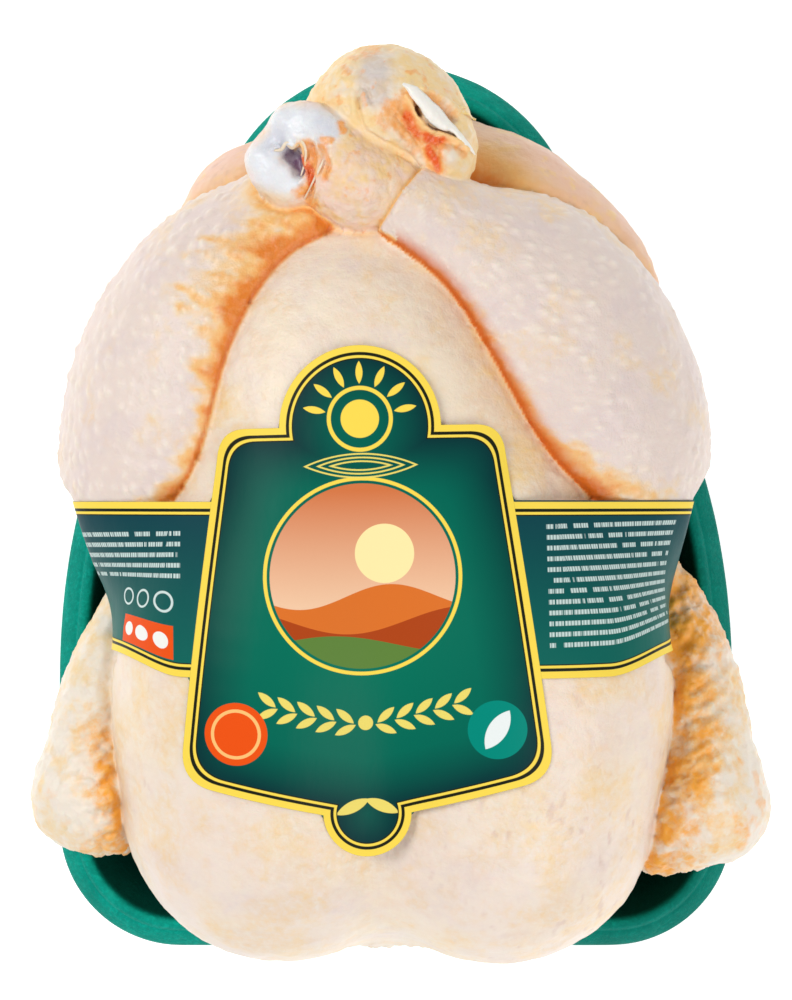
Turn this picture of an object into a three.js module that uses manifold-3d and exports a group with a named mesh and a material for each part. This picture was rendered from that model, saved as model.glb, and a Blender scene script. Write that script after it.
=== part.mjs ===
// A whole raw chicken lying on its back in a foam tray, with a printed band round its middle.
// Sizes are in millimetres. The origin is on the tray's flat underside, below the middle of the
// breast. +Z is up, +Y points to the tail end, where the hocks cross, and -Y to the neck end.
import * as THREE from "three";
import { mergeVertices } from "three/addons/utils/BufferGeometryUtils.js";
import Module from "manifold-3d";

const wasm = await Module();
wasm.setup();

// Tray: a foam dish with an arched head end and two round corners at the foot.
const TRAY_HALF_WIDTH = 102;
const TRAY_FOOT_Y = -135;
const TRAY_HEAD_Y = 132;
const TRAY_CORNER_RADIUS = 37;
const TRAY_HEAD_RADIUS = 56;
const TRAY_SIDE_TOP_Y = -30;
const TRAY_HEIGHT = 40;
const FOAM_THICKNESS = 4.5;
const RIM_WIDTH = 9;
const WALL_LEAN = 13;
const TRAY_SEGMENTS = 60;

// Band: printed film drawn tight round the bird, with a shaped label over the breast.
const BAND_THICKNESS = 0.8;
const CONTACT_GAP = 0.3;
const LABEL_CENTRE = new THREE.Vector2(-8.9, -24.5);
const LABEL_TILT = THREE.MathUtils.degToRad(1.1);
const STRAP_TOP_Y = -0.5;
const STRAP_FOOT_Y = -48;
const LABEL_SHOULDER_Y = 44.5;
const LABEL_SHOULDER_HALF_WIDTH = 38.5;
const LABEL_FOOT_Y = -45;
const LABEL_FOOT_HALF_WIDTH = 50.3;
const LABEL_ARCH_RADIUS = 22;
const LABEL_TAB_RADIUS = 12;
const LABEL_TAB_Y = -61;
const BAND_SEGMENTS = 54;
const BAND_ROW_STEP = 8;
const BAND_ROWS_FROM_Y = -108;
const BAND_ROWS_TO_Y = 52;
const BAND_AXIS_HEIGHT = 52;
const FILM_ROOM = BAND_THICKNESS + CONTACT_GAP * 2;

// Skin: how far apart a field is probed, and in how many steps a muscle's ball is swept between
// two stations.
const PROBE_STEP = 2;
const SWEEP_STEPS = 9;
const TORSO_REACH = 90;
const LIMB_REACH = 45;
const BEYOND_THE_PACK = 150;

// Distance to the lesser of two fields, rounded over a width where they meet.
function softMin(a, b, width) {
  const share = THREE.MathUtils.clamp(0.5 + (0.5 * (b - a)) / width, 0, 1);
  return THREE.MathUtils.lerp(b, a, share) - width * share * (1 - share);
}

// A muscle is a ball swept smoothly through stations [x, y, z, radius].
function muscle(...stations) {
  const places = new THREE.CatmullRomCurve3(stations.map(([x, y, z]) => new THREE.Vector3(x, y, z)));
  const radii = new THREE.SplineCurve(stations.map(([, , , r], i) => new THREE.Vector2(i, r)));
  const balls = [];
  const steps = stations.length > 1 ? (stations.length - 1) * SWEEP_STEPS : 0;
  for (let i = 0; i <= steps; i++) {
    const t = steps ? i / steps : 0;
    const place = steps ? places.getPoint(t) : new THREE.Vector3(...stations[0]);
    balls.push({ place, radius: steps ? radii.getPoint(t).y : stations[0][3] });
  }
  return (point) => Math.min(...balls.map((ball) => ball.place.distanceTo(point) - ball.radius));
}

// Muscles of one limb under one skin.
function limb(softness, ...muscles) {
  return (point) => muscles.map((m) => m(point)).reduce((a, b) => softMin(a, b, softness));
}

// A field with another pressed into it.
function hollowed(field, dent) {
  return (point) => Math.max(field(point), -dent(point));
}

// How far a field reaches from a place along a direction.
function reachAlong(field, place, direction, furthest) {
  const probe = new THREE.Vector3();
  const at = (distance) => field(probe.copy(direction).multiplyScalar(distance).add(place));
  let outside = furthest;
  let inside = furthest - PROBE_STEP;
  while (inside > 0 && at(inside) > 0) {
    outside = inside;
    inside -= PROBE_STEP;
  }
  for (let i = 0; i < 12; i++) {
    const middle = (inside + outside) / 2;
    if (at(middle) > 0) outside = middle;
    else inside = middle;
  }
  return (inside + outside) / 2;
}

function withoutSeams(geometry) {
  geometry.deleteAttribute("normal");
  geometry.deleteAttribute("uv");
  return mergeVertices(geometry, 1e-5);
}

// A sphere whose points are drawn out along rays from a spine until they lie on the field.
function skinOver(field, from, to, around, along, furthest) {
  const geometry = withoutSeams(new THREE.SphereGeometry(1, around, along));
  const spine = new THREE.Vector3().subVectors(to, from);
  const turn = new THREE.Quaternion().setFromUnitVectors(
    new THREE.Vector3(0, 1, 0), spine.clone().normalize());
  const points = geometry.getAttribute("position");
  const ray = new THREE.Vector3();
  for (let i = 0; i < points.count; i++) {
    ray.fromBufferAttribute(points, i);
    const place = from.clone().addScaledVector(spine, (ray.y + 1) / 2);
    ray.applyQuaternion(turn).normalize();
    const reach = reachAlong(field, place, ray, furthest);
    points.setXYZ(i, ...place.addScaledVector(ray, reach).toArray());
  }
  return geometry;
}

function solidOf(geometry) {
  const made = new wasm.Manifold(new wasm.Mesh({
    numProp: 3,
    vertProperties: new Float32Array(geometry.getAttribute("position").array),
    triVerts: new Uint32Array(geometry.index.array),
  }));
  if (made.volume() < 0) throw new Error("a surface faces inwards");
  return made;
}

function geometryOf(solid) {
  const largest = solid.decompose().sort((a, b) => b.volume() - a.volume())[0];
  const mesh = largest.getMesh();
  const geometry = new THREE.BufferGeometry();
  geometry.setAttribute("position", new THREE.BufferAttribute(new Float32Array(mesh.vertProperties), 3));
  geometry.setIndex(new THREE.BufferAttribute(new Uint32Array(mesh.triVerts), 1));
  geometry.computeVertexNormals();
  return geometry;
}

const at = (x, y, z) => new THREE.Vector3(x, y, z);

// Torso: two full breast lobes that narrow to the tail end, over a broad back.
const torso = limb(13,
  muscle([-33, -87, 60, 46.5], [-32, -45, 66, 49], [-23.5, 0, 68, 42], [-18, 38, 66, 39.5], [-11.5, 57, 62, 28.5]),
  muscle([29, -88, 60, 46.5], [30, -45, 66, 49], [11.5, 0, 68, 41.5], [-2, 38, 66, 36.5], [-8, 57, 62, 26]),
  muscle([0, -84, 40, 34], [0, 0, 42, 37], [-2, 70, 38, 32]),
  muscle([-3, -112, 44, 19]),
);
// Loins: the smooth skin of the thighs and belly that shows beyond the drumsticks.
const loins = limb(12,
  muscle([-30, 40, 42, 34], [-35, 77, 42, 31]),
  muscle([30, 40, 42, 34], [50, 58, 44, 29], [31, 78.5, 43, 29], [17, 87, 41, 27]),
  muscle([-2, 92, 32, 25], [-3, 104, 33, 13], [-3, 112, 36, 9]),
);
const leftLeg = limb(12,
  muscle([-55, -10, 52, 36], [-57, 14, 55, 41.5], [-49, 46, 60, 38], [-32, 70.5, 69, 25], [-16, 89, 78, 15.5]),
);
const rightLeg = limb(12,
  muscle([50, -10, 53, 35], [50, 20, 56, 42], [38.5, 49, 63, 37], [19, 68, 76, 22.5], [3, 82, 85, 14]),
);
// Hocks: the drumsticks' ends, crossed over the tail end. The front one ends in two bare knuckles.
const backHock = hollowed(limb(5,
  muscle([-14, 95, 77, 17], [-5, 108, 80, 20], [4, 106, 80, 17], [10, 99, 78, 13]),
), muscle([19, 105, 97, 11], [18, 96, 94, 9]));
const frontHock = hollowed(limb(3.5,
  muscle([-4.5, 89, 86, 12.5], [-11, 88.5, 89, 13.5], [-15, 91.5, 91, 12.2]),
  muscle([-18, 98.5, 91, 9.5], [-24, 102, 92.5, 8.6], [-28.4, 103.2, 92, 7.5]),
  muscle([-35.4, 94.4, 90, 7.2], [-33.6, 91.3, 90, 7.4], [-29.8, 88.6, 89, 7.8]),
  muscle([-30.5, 98, 86.5, 8.5], [-24, 92.5, 86.5, 9.5]),
), muscle([-28, 93.5, 101, 5]));
const leftWing = limb(7,
  muscle([-77, -28, 48, 9], [-84, -54, 51, 14], [-90, -86, 54, 16]),
  muscle([-90, -86, 54, 16], [-76, -87, 52, 16.5], [-58, -88, 50, 18]),
);
const rightWing = limb(7,
  muscle([75, -20, 48, 9], [86, -49, 51, 14], [92, -89, 54, 16.5]),
  muscle([92, -89, 54, 16.5], [80, -92, 52, 17.5], [58, -92, 50, 18]),
);

function birdBody() {
  const pieces = [
    skinOver(torso, at(0, -78, 55), at(-5, 36, 54), 40, 36, TORSO_REACH),
    skinOver(loins, at(0, 40, 40), at(-3, 96, 38), 26, 16, TORSO_REACH),
    skinOver(leftLeg, at(-55, 2, 52), at(-26, 82, 70), 22, 20, TORSO_REACH),
    skinOver(rightLeg, at(51, 4, 52), at(12, 80, 77), 22, 20, TORSO_REACH),
    skinOver(backHock, at(-11, 99, 78), at(7, 103, 79), 20, 14, LIMB_REACH),
    skinOver(frontHock, at(-4, 89, 86), at(-27, 97, 88), 20, 18, LIMB_REACH),
    skinOver(leftWing, at(-80, -44, 51), at(-84, -85, 53), 18, 15, LIMB_REACH),
    skinOver(rightWing, at(79, -40, 51), at(85, -88, 53), 18, 15, LIMB_REACH),
  ];
  return pieces.map(solidOf);
}

// The tray's rim seen from above.
function trayOutline() {
  const flank = TRAY_HALF_WIDTH - TRAY_CORNER_RADIUS;
  const cornerY = TRAY_FOOT_Y + TRAY_CORNER_RADIUS;
  const headCentreY = TRAY_HEAD_Y - TRAY_HEAD_RADIUS;
  const headTurn = THREE.MathUtils.degToRad(24);
  const headX = TRAY_HEAD_RADIUS * Math.cos(headTurn);
  const headY = headCentreY + TRAY_HEAD_RADIUS * Math.sin(headTurn);
  const pull = 50;
  const outline = new THREE.Shape();
  outline.moveTo(0, TRAY_FOOT_Y);
  outline.lineTo(flank, TRAY_FOOT_Y);
  outline.absarc(flank, cornerY, TRAY_CORNER_RADIUS, -Math.PI / 2, 0, false);
  outline.lineTo(TRAY_HALF_WIDTH, TRAY_SIDE_TOP_Y - pull / 2);
  outline.bezierCurveTo(TRAY_HALF_WIDTH, TRAY_SIDE_TOP_Y + pull,
    headX + pull * Math.sin(headTurn), headY - pull * Math.cos(headTurn), headX, headY);
  outline.absarc(0, headCentreY, TRAY_HEAD_RADIUS, headTurn, Math.PI - headTurn, false);
  outline.bezierCurveTo(-headX - pull * Math.sin(headTurn), headY - pull * Math.cos(headTurn),
    -TRAY_HALF_WIDTH, TRAY_SIDE_TOP_Y + pull, -TRAY_HALF_WIDTH, TRAY_SIDE_TOP_Y - pull / 2);
  outline.lineTo(-TRAY_HALF_WIDTH, cornerY);
  outline.absarc(-flank, cornerY, TRAY_CORNER_RADIUS, Math.PI, Math.PI * 1.5, false);
  outline.lineTo(0, TRAY_FOOT_Y);
  return outline;
}

const rim = trayOutline().getSpacedPoints(TRAY_SEGMENTS).slice(0, TRAY_SEGMENTS);
const rimInward = rim.map((_, i) => {
  const next = rim[(i + 1) % rim.length];
  const last = rim[(i + rim.length - 1) % rim.length];
  return new THREE.Vector2(last.y - next.y, next.x - last.x).normalize();
});

// The tray's inside from the rim's top to the floor: how far inside the rim, and how high.
const wallFoot = RIM_WIDTH + WALL_LEAN;
const trayInside = [
  [RIM_WIDTH - 1.5, TRAY_HEIGHT],
  [RIM_WIDTH + 1, TRAY_HEIGHT - 2.6],
  [wallFoot + 1, 10],
  [wallFoot + 3.5, 6],
  [wallFoot + 8, FOAM_THICKNESS],
];

// A lathe's profile carried round the tray's outline instead of a circle. A profile point holds
// how far it lies inside the rim, and its height. With room, it is the space that the tray and
// a margin all over it take, and all that lies outside its walls.
function trayBody(room = 0) {
  const wallSide = room ? [[-BEYOND_THE_PACK, -room], [-BEYOND_THE_PACK, TRAY_HEIGHT + room]] : [
    [wallFoot + 1.5, 0],
    [wallFoot - 4, 2.2],
    [RIM_WIDTH - 3.6, TRAY_HEIGHT - 5.5],
    [1.2, TRAY_HEIGHT - 6],
    [0, TRAY_HEIGHT - 4.5],
    [0.6, TRAY_HEIGHT - 1.6],
    [3, TRAY_HEIGHT],
  ];
  const profile = [
    ["middle", -room],
    ...wallSide,
    ...trayInside.map(([inset, height], i) => [inset + (i ? room : 0), height + room]),
    ["middle", FOAM_THICKNESS + room],
  ];
  const flat = profile.map(([inset, height], i) =>
    new THREE.Vector2(inset === "middle" ? 0 : 1 + i, height));
  const geometry = new THREE.LatheGeometry(flat, TRAY_SEGMENTS);
  const points = geometry.getAttribute("position");
  for (let i = 0; i < points.count; i++) {
    const [inset, height] = profile[i % profile.length];
    const side = Math.floor(i / profile.length) % TRAY_SEGMENTS;
    const place = inset === "middle"
      ? new THREE.Vector2(0, 0)
      : rim[side].clone().addScaledVector(rimInward[side], inset);
    points.setXYZ(i, place.x, place.y, height);
  }
  return solidOf(withoutSeams(geometry));
}

// The lowest that something of a margin's thickness can lie in the tray at a place.
function lowestInTray(x, y, margin) {
  const inset = Math.min(...rim.map((corner, i) =>
    (x - corner.x) * rimInward[i].x + (y - corner.y) * rimInward[i].y)) - margin;
  const after = trayInside.findIndex(([edge]) => edge > inset);
  if (after === 0) return TRAY_HEIGHT + margin;
  if (after < 0) return FOAM_THICKNESS + margin;
  const [[nearInset, nearHeight], [farInset, farHeight]] = [trayInside[after - 1], trayInside[after]];
  return THREE.MathUtils.mapLinear(inset, nearInset, farInset, nearHeight, farHeight) + margin;
}

// How far the tight film stands from the band's axis at one Y, for each angle round it: the
// nearest flat faces that touch the breast and legs from outside, pressed in by the tray.
function filmReach(y) {
  const axis = at(0, y, BAND_AXIS_HEIGHT);
  const bird = (point) => Math.min(torso(point), leftLeg(point), rightLeg(point));
  const angles = Array.from({ length: BAND_SEGMENTS * 2 }, (_, i) => (i * Math.PI) / BAND_SEGMENTS);
  const section = angles.map((angle) => {
    const ray = at(Math.cos(angle), 0, Math.sin(angle));
    const touch = ray.multiplyScalar(reachAlong(bird, axis, ray.clone(), BEYOND_THE_PACK));
    return new THREE.Vector2(touch.x, touch.z);
  });
  const faces = angles.map((angle) => {
    const facing = new THREE.Vector2(Math.cos(angle), Math.sin(angle));
    return { angle, distance: Math.max(...section.map((point) => point.dot(facing))) };
  });
  return (angle) => {
    const tight = Math.min(...faces
      .filter((face) => Math.cos(angle - face.angle) > 0.1)
      .map((face) => face.distance / Math.cos(angle - face.angle)));
    const sunk = (point) => lowestInTray(point.x, y, FILM_ROOM) - point.z;
    const ray = at(Math.cos(angle), 0, Math.sin(angle));
    return Math.min(tight, reachAlong(sunk, axis, ray, BEYOND_THE_PACK));
  };
}

// The label's outline: an arched head on square shoulders, sides that spread to the foot, and a
// round tab below. The label's own middle is its origin.
function labelOutline() {
  const outline = new THREE.Shape();
  const cornerRadius = 5;
  const slope = (LABEL_FOOT_HALF_WIDTH - LABEL_SHOULDER_HALF_WIDTH) / (LABEL_SHOULDER_Y - LABEL_FOOT_Y);
  outline.moveTo(LABEL_ARCH_RADIUS, LABEL_SHOULDER_Y);
  outline.absarc(0, LABEL_SHOULDER_Y, LABEL_ARCH_RADIUS, 0, Math.PI, false);
  outline.lineTo(-LABEL_SHOULDER_HALF_WIDTH + cornerRadius, LABEL_SHOULDER_Y);
  outline.quadraticCurveTo(-LABEL_SHOULDER_HALF_WIDTH, LABEL_SHOULDER_Y,
    -LABEL_SHOULDER_HALF_WIDTH - slope * cornerRadius, LABEL_SHOULDER_Y - cornerRadius);
  outline.lineTo(-LABEL_FOOT_HALF_WIDTH, LABEL_FOOT_Y);
  outline.quadraticCurveTo(-LABEL_FOOT_HALF_WIDTH, LABEL_FOOT_Y - cornerRadius,
    -LABEL_FOOT_HALF_WIDTH + cornerRadius, LABEL_FOOT_Y - cornerRadius * 1.6);
  outline.lineTo(-LABEL_TAB_RADIUS, LABEL_TAB_Y);
  outline.absarc(0, LABEL_TAB_Y, LABEL_TAB_RADIUS, Math.PI, Math.PI * 2, false);
  outline.lineTo(LABEL_FOOT_HALF_WIDTH - cornerRadius, LABEL_FOOT_Y - cornerRadius * 1.6);
  outline.quadraticCurveTo(LABEL_FOOT_HALF_WIDTH, LABEL_FOOT_Y - cornerRadius,
    LABEL_FOOT_HALF_WIDTH, LABEL_FOOT_Y);
  outline.lineTo(LABEL_SHOULDER_HALF_WIDTH + slope * cornerRadius, LABEL_SHOULDER_Y - cornerRadius);
  outline.quadraticCurveTo(LABEL_SHOULDER_HALF_WIDTH, LABEL_SHOULDER_Y,
    LABEL_SHOULDER_HALF_WIDTH - cornerRadius, LABEL_SHOULDER_Y);
  outline.lineTo(LABEL_ARCH_RADIUS, LABEL_SHOULDER_Y);
  return outline;
}

// The room above the bird that the label and the straps take when seen from above.
function bandPlan() {
  const label = new THREE.ExtrudeGeometry(labelOutline(), {
    depth: BEYOND_THE_PACK, bevelEnabled: false, curveSegments: 12 });
  label.rotateZ(LABEL_TILT);
  label.translate(LABEL_CENTRE.x, LABEL_CENTRE.y, BAND_AXIS_HEIGHT + 10);
  const strapWidth = STRAP_TOP_Y - STRAP_FOOT_Y;
  const straps = new THREE.BoxGeometry(BEYOND_THE_PACK * 2, strapWidth, BEYOND_THE_PACK * 2);
  straps.translate(0, (STRAP_TOP_Y + STRAP_FOOT_Y) / 2, 0);
  return solidOf(withoutSeams(label)).add(solidOf(withoutSeams(straps)));
}

// All that lies within a distance of the tight film's inner side.
const bandRows = [];
for (let y = BAND_ROWS_FROM_Y; y <= BAND_ROWS_TO_Y; y += BAND_ROW_STEP) bandRows.push(y);
const bandReaches = bandRows.map(filmReach);
function withinFilm(distance) {
  const profile = [
    { y: bandRows[0] },
    ...bandRows.map((y, row) => ({ y, reachAt: bandReaches[row] })),
    { y: bandRows.at(-1) },
  ];
  const flat = profile.map(({ y, reachAt }) => new THREE.Vector2(reachAt ? 50 : 0, y));
  const geometry = new THREE.LatheGeometry(flat, BAND_SEGMENTS);
  const points = geometry.getAttribute("position");
  for (let i = 0; i < points.count; i++) {
    const { y, reachAt } = profile[i % profile.length];
    const side = Math.floor(i / profile.length) % BAND_SEGMENTS;
    const angle = (-side * 2 * Math.PI) / BAND_SEGMENTS + Math.PI / 2;
    const reach = reachAt ? reachAt(angle) + distance : 0;
    points.setXYZ(i, Math.cos(angle) * reach, y, BAND_AXIS_HEIGHT + Math.sin(angle) * reach);
  }
  return solidOf(withoutSeams(geometry));
}

const foam = new THREE.MeshStandardMaterial({ color: 0x0f7f66, roughness: 0.85, metalness: 0 });
const film = new THREE.MeshStandardMaterial({ color: 0x0c5c4a, roughness: 0.3, metalness: 0 });
const skin = new THREE.MeshStandardMaterial({ color: 0xeed3b4, roughness: 0.45, metalness: 0 });

// Flesh under the film is pressed in by it, the folded wings lie outside it, and what reaches
// the tray rests on its floor and rim.
const plan = bandPlan();
const limbs = birdBody();
const wings = limbs.splice(-2).map((wing) => wing.subtract(withinFilm(FILM_ROOM).intersect(plan)));
const bird = [limbs.reduce((a, b) => a.add(b)).subtract(plan.subtract(withinFilm(0))), ...wings]
  .reduce((a, b) => a.add(b))
  .subtract(trayBody(CONTACT_GAP));
const band = withinFilm(CONTACT_GAP + BAND_THICKNESS).subtract(withinFilm(CONTACT_GAP)).intersect(plan);

const pack = new THREE.Group();
[["chicken", geometryOf(bird), skin],
  ["printed_band", geometryOf(band), film],
  ["foam_tray", geometryOf(trayBody()), foam]].forEach(([name, geometry, material]) => {
  const mesh = new THREE.Mesh(geometry, material);
  mesh.name = name;
  pack.add(mesh);
});

export default pack;
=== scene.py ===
"""A whole raw chicken in its foam tray, with a printed film band drawn round it.

Sizes of the forms are in millimetres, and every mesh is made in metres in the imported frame:
+Z up, +Y to the tail end where the hocks cross, the origin on the tray's underside.
"""

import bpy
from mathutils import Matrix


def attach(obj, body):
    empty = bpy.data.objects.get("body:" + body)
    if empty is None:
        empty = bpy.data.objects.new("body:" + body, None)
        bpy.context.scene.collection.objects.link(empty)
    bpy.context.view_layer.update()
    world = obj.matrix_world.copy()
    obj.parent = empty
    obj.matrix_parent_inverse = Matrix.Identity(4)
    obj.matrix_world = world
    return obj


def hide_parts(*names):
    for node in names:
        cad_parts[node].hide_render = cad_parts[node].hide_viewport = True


bl_info = {
    "name": "Raw Chicken in a Tray",
    "version": (1, 0, 0),
    "blender": (4, 5, 0),
    "location": "View3D > Sidebar > Chicken",
    "description": "Dresses the packed bird, band and tray with skin, printed film and foam",
    "category": "Add Mesh",
}

import math

import bmesh
import bpy
import numpy as np
from bpy.props import FloatProperty, FloatVectorProperty, PointerProperty
from mathutils import Vector
from mathutils.bvhtree import BVHTree
from mathutils.geometry import delaunay_2d_cdt

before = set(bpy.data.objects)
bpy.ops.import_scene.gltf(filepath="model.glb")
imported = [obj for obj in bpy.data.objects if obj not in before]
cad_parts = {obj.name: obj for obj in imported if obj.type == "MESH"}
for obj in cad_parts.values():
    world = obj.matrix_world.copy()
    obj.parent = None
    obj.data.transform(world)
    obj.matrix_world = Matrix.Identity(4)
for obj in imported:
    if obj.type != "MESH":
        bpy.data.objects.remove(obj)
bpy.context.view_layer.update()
MM = 0.001

# Forms of the bird: each limb is a softness and its muscles, and a muscle is a ball swept
# through stations (x, y, z, radius) in millimetres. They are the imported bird's forms, with one
# more swelling at the back hock's cut end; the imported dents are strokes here.
LIMBS = {
    "torso": (13, [
        [(-33, -87, 60, 46.5), (-32, -45, 66, 49), (-23.5, 0, 68, 42), (-18, 38, 66, 39.5),
         (-11.5, 57, 62, 28.5)],
        [(29, -88, 60, 46.5), (30, -45, 66, 49), (11.5, 0, 68, 41.5), (-2, 38, 66, 36.5),
         (-8, 57, 62, 26)],
        [(0, -84, 40, 34), (0, 0, 42, 37), (-2, 70, 38, 32)],
        [(-3, -112, 44, 19)],
    ]),
    "loins": (12, [
        [(-30, 40, 42, 34), (-35, 77, 42, 31)],
        [(30, 40, 42, 34), (50, 58, 44, 29), (31, 78.5, 43, 29), (17, 87, 41, 27)],
        [(-2, 92, 32, 25), (-3, 104, 33, 13), (-3, 112, 36, 9)],
    ]),
    "left_leg": (12, [
        [(-55, -10, 52, 36), (-57, 14, 55, 41.5), (-49, 46, 60, 38), (-32, 70.5, 69, 25),
         (-16, 89, 78, 15.5)],
    ]),
    "right_leg": (12, [
        [(50, -10, 53, 35), (50, 20, 56, 42), (38.5, 49, 63, 37), (19, 68, 76, 22.5), (3, 82, 85, 14)],
    ]),
    "back_hock": (5, [
        [(-14, 95, 77, 17), (-5, 108, 80, 20), (4, 106, 80, 17), (10, 99, 78, 13)],
        [(13.5, 95.5, 86, 8.2)],
    ]),
    "front_hock": (3.5, [
        [(-4.5, 89, 86, 12.5), (-11, 88.5, 89, 13.5), (-15, 91.5, 91, 12.2)],
        [(-18, 98.5, 91, 9.5), (-24, 102, 92.5, 8.6), (-28.4, 103.2, 92, 7.5)],
        [(-35.4, 94.4, 90, 7.2), (-33.6, 91.3, 90, 7.4), (-29.8, 88.6, 89, 7.8)],
        [(-30.5, 98, 86.5, 8.5), (-24, 92.5, 86.5, 9.5)],
    ]),
    "left_wing": (7, [
        [(-77, -28, 48, 9), (-84, -54, 51, 14), (-90, -86, 54, 16)],
        [(-90, -86, 54, 16), (-76, -87, 52, 16.5), (-58, -88, 50, 18)],
    ]),
    "right_wing": (7, [
        [(75, -20, 48, 9), (86, -49, 51, 14), (92, -89, 54, 16.5)],
        [(92, -89, 54, 16.5), (80, -92, 52, 17.5), (58, -92, 50, 18)],
    ]),
}
# Lines pressed into the hocks' skin or raised from it, in plan: half width, height, places.
STROKES = [
    (0.6, -1.1, [(-10.6, 108), (-10.9, 112), (-9.4, 114.0), (-7.6, 113), (-6.9, 109)]),
    (0.7, -1.0, [(-10.8, 110.5), (-10.4, 105.6), (-8.4, 101.2), (-2.0, 97.6), (4.6, 94.0), (7.4, 89.6)]),
    (0.8, -2.2, [(5.9, 109.0), (6.7, 106.4)]),
    (0.6, -1.2, [(8.6, 104.2), (11.0, 102.9), (13.8, 102.4), (16.2, 101.8)]),
    (0.7, 0.9, [(2.6, 110.8), (4.4, 108.6), (5.9, 105.4), (7.3, 103.4), (9.5, 101.9), (12.3, 101.3),
                (15.2, 100.4), (18.1, 99.0), (19.9, 97.3)]),
    (1.7, -1.8, [(8.7, 111.5), (12.3, 109.4), (15.6, 106.8)]),
    (0.9, 0.9, [(6.9, 113.2), (10.9, 112.5), (14.5, 110.8), (17.4, 108.2), (19.4, 105.0), (20.6, 101.6)]),
    (1.4, -1.3, [(3.2, 106.2), (5.2, 102.6)]),
    (1.1, 0.8, [(-3.8, 103.6), (-1.7, 102.2), (1.9, 98.9), (5.5, 96.4), (6.6, 94.3)]),
    (0.6, -0.8, [(0.2, 105.6), (3.2, 102.0), (6.8, 98.4), (8.0, 94.6)]),
    (2.4, 1.5, [(13.4, 95.8), (14.6, 95.2)]),
    (0.7, -1.1, [(11.4, 97.8), (10.9, 94.8), (12.0, 92.0)]),
    (0.6, -0.7, [(12.6, 99.2), (15.8, 98.8), (18.2, 97.0)]),
    (1.7, -3.4, [(-29.6, 95.4), (-27.8, 93.4), (-26.8, 90.6)]),
    (0.6, 1.4, [(-34.0, 96.8), (-32.4, 97.4), (-31.2, 96.6), (-29.6, 98.2), (-28.0, 97.4), (-26.6, 98.6),
                (-25.4, 96.6), (-25.6, 94.0), (-24.6, 91.6), (-25.4, 89.0), (-26.6, 87.4)]),
    (1.7, 0.8, [(-28.0, 99.8), (-22.4, 99.4)]),
    (0.6, -0.9, [(-23.6, 97.0), (-22.8, 94.2), (-23.4, 91.0), (-22.6, 88.0), (-24.4, 84.6)]),
    (0.6, 0.9, [(-21.8, 98.4), (-20.8, 94.4), (-21.6, 90.0), (-21.0, 86.0), (-23.0, 82.0)]),
    (0.6, -0.8, [(-19.6, 97.4), (-18.6, 92.0), (-19.6, 87.4)]),
]
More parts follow.
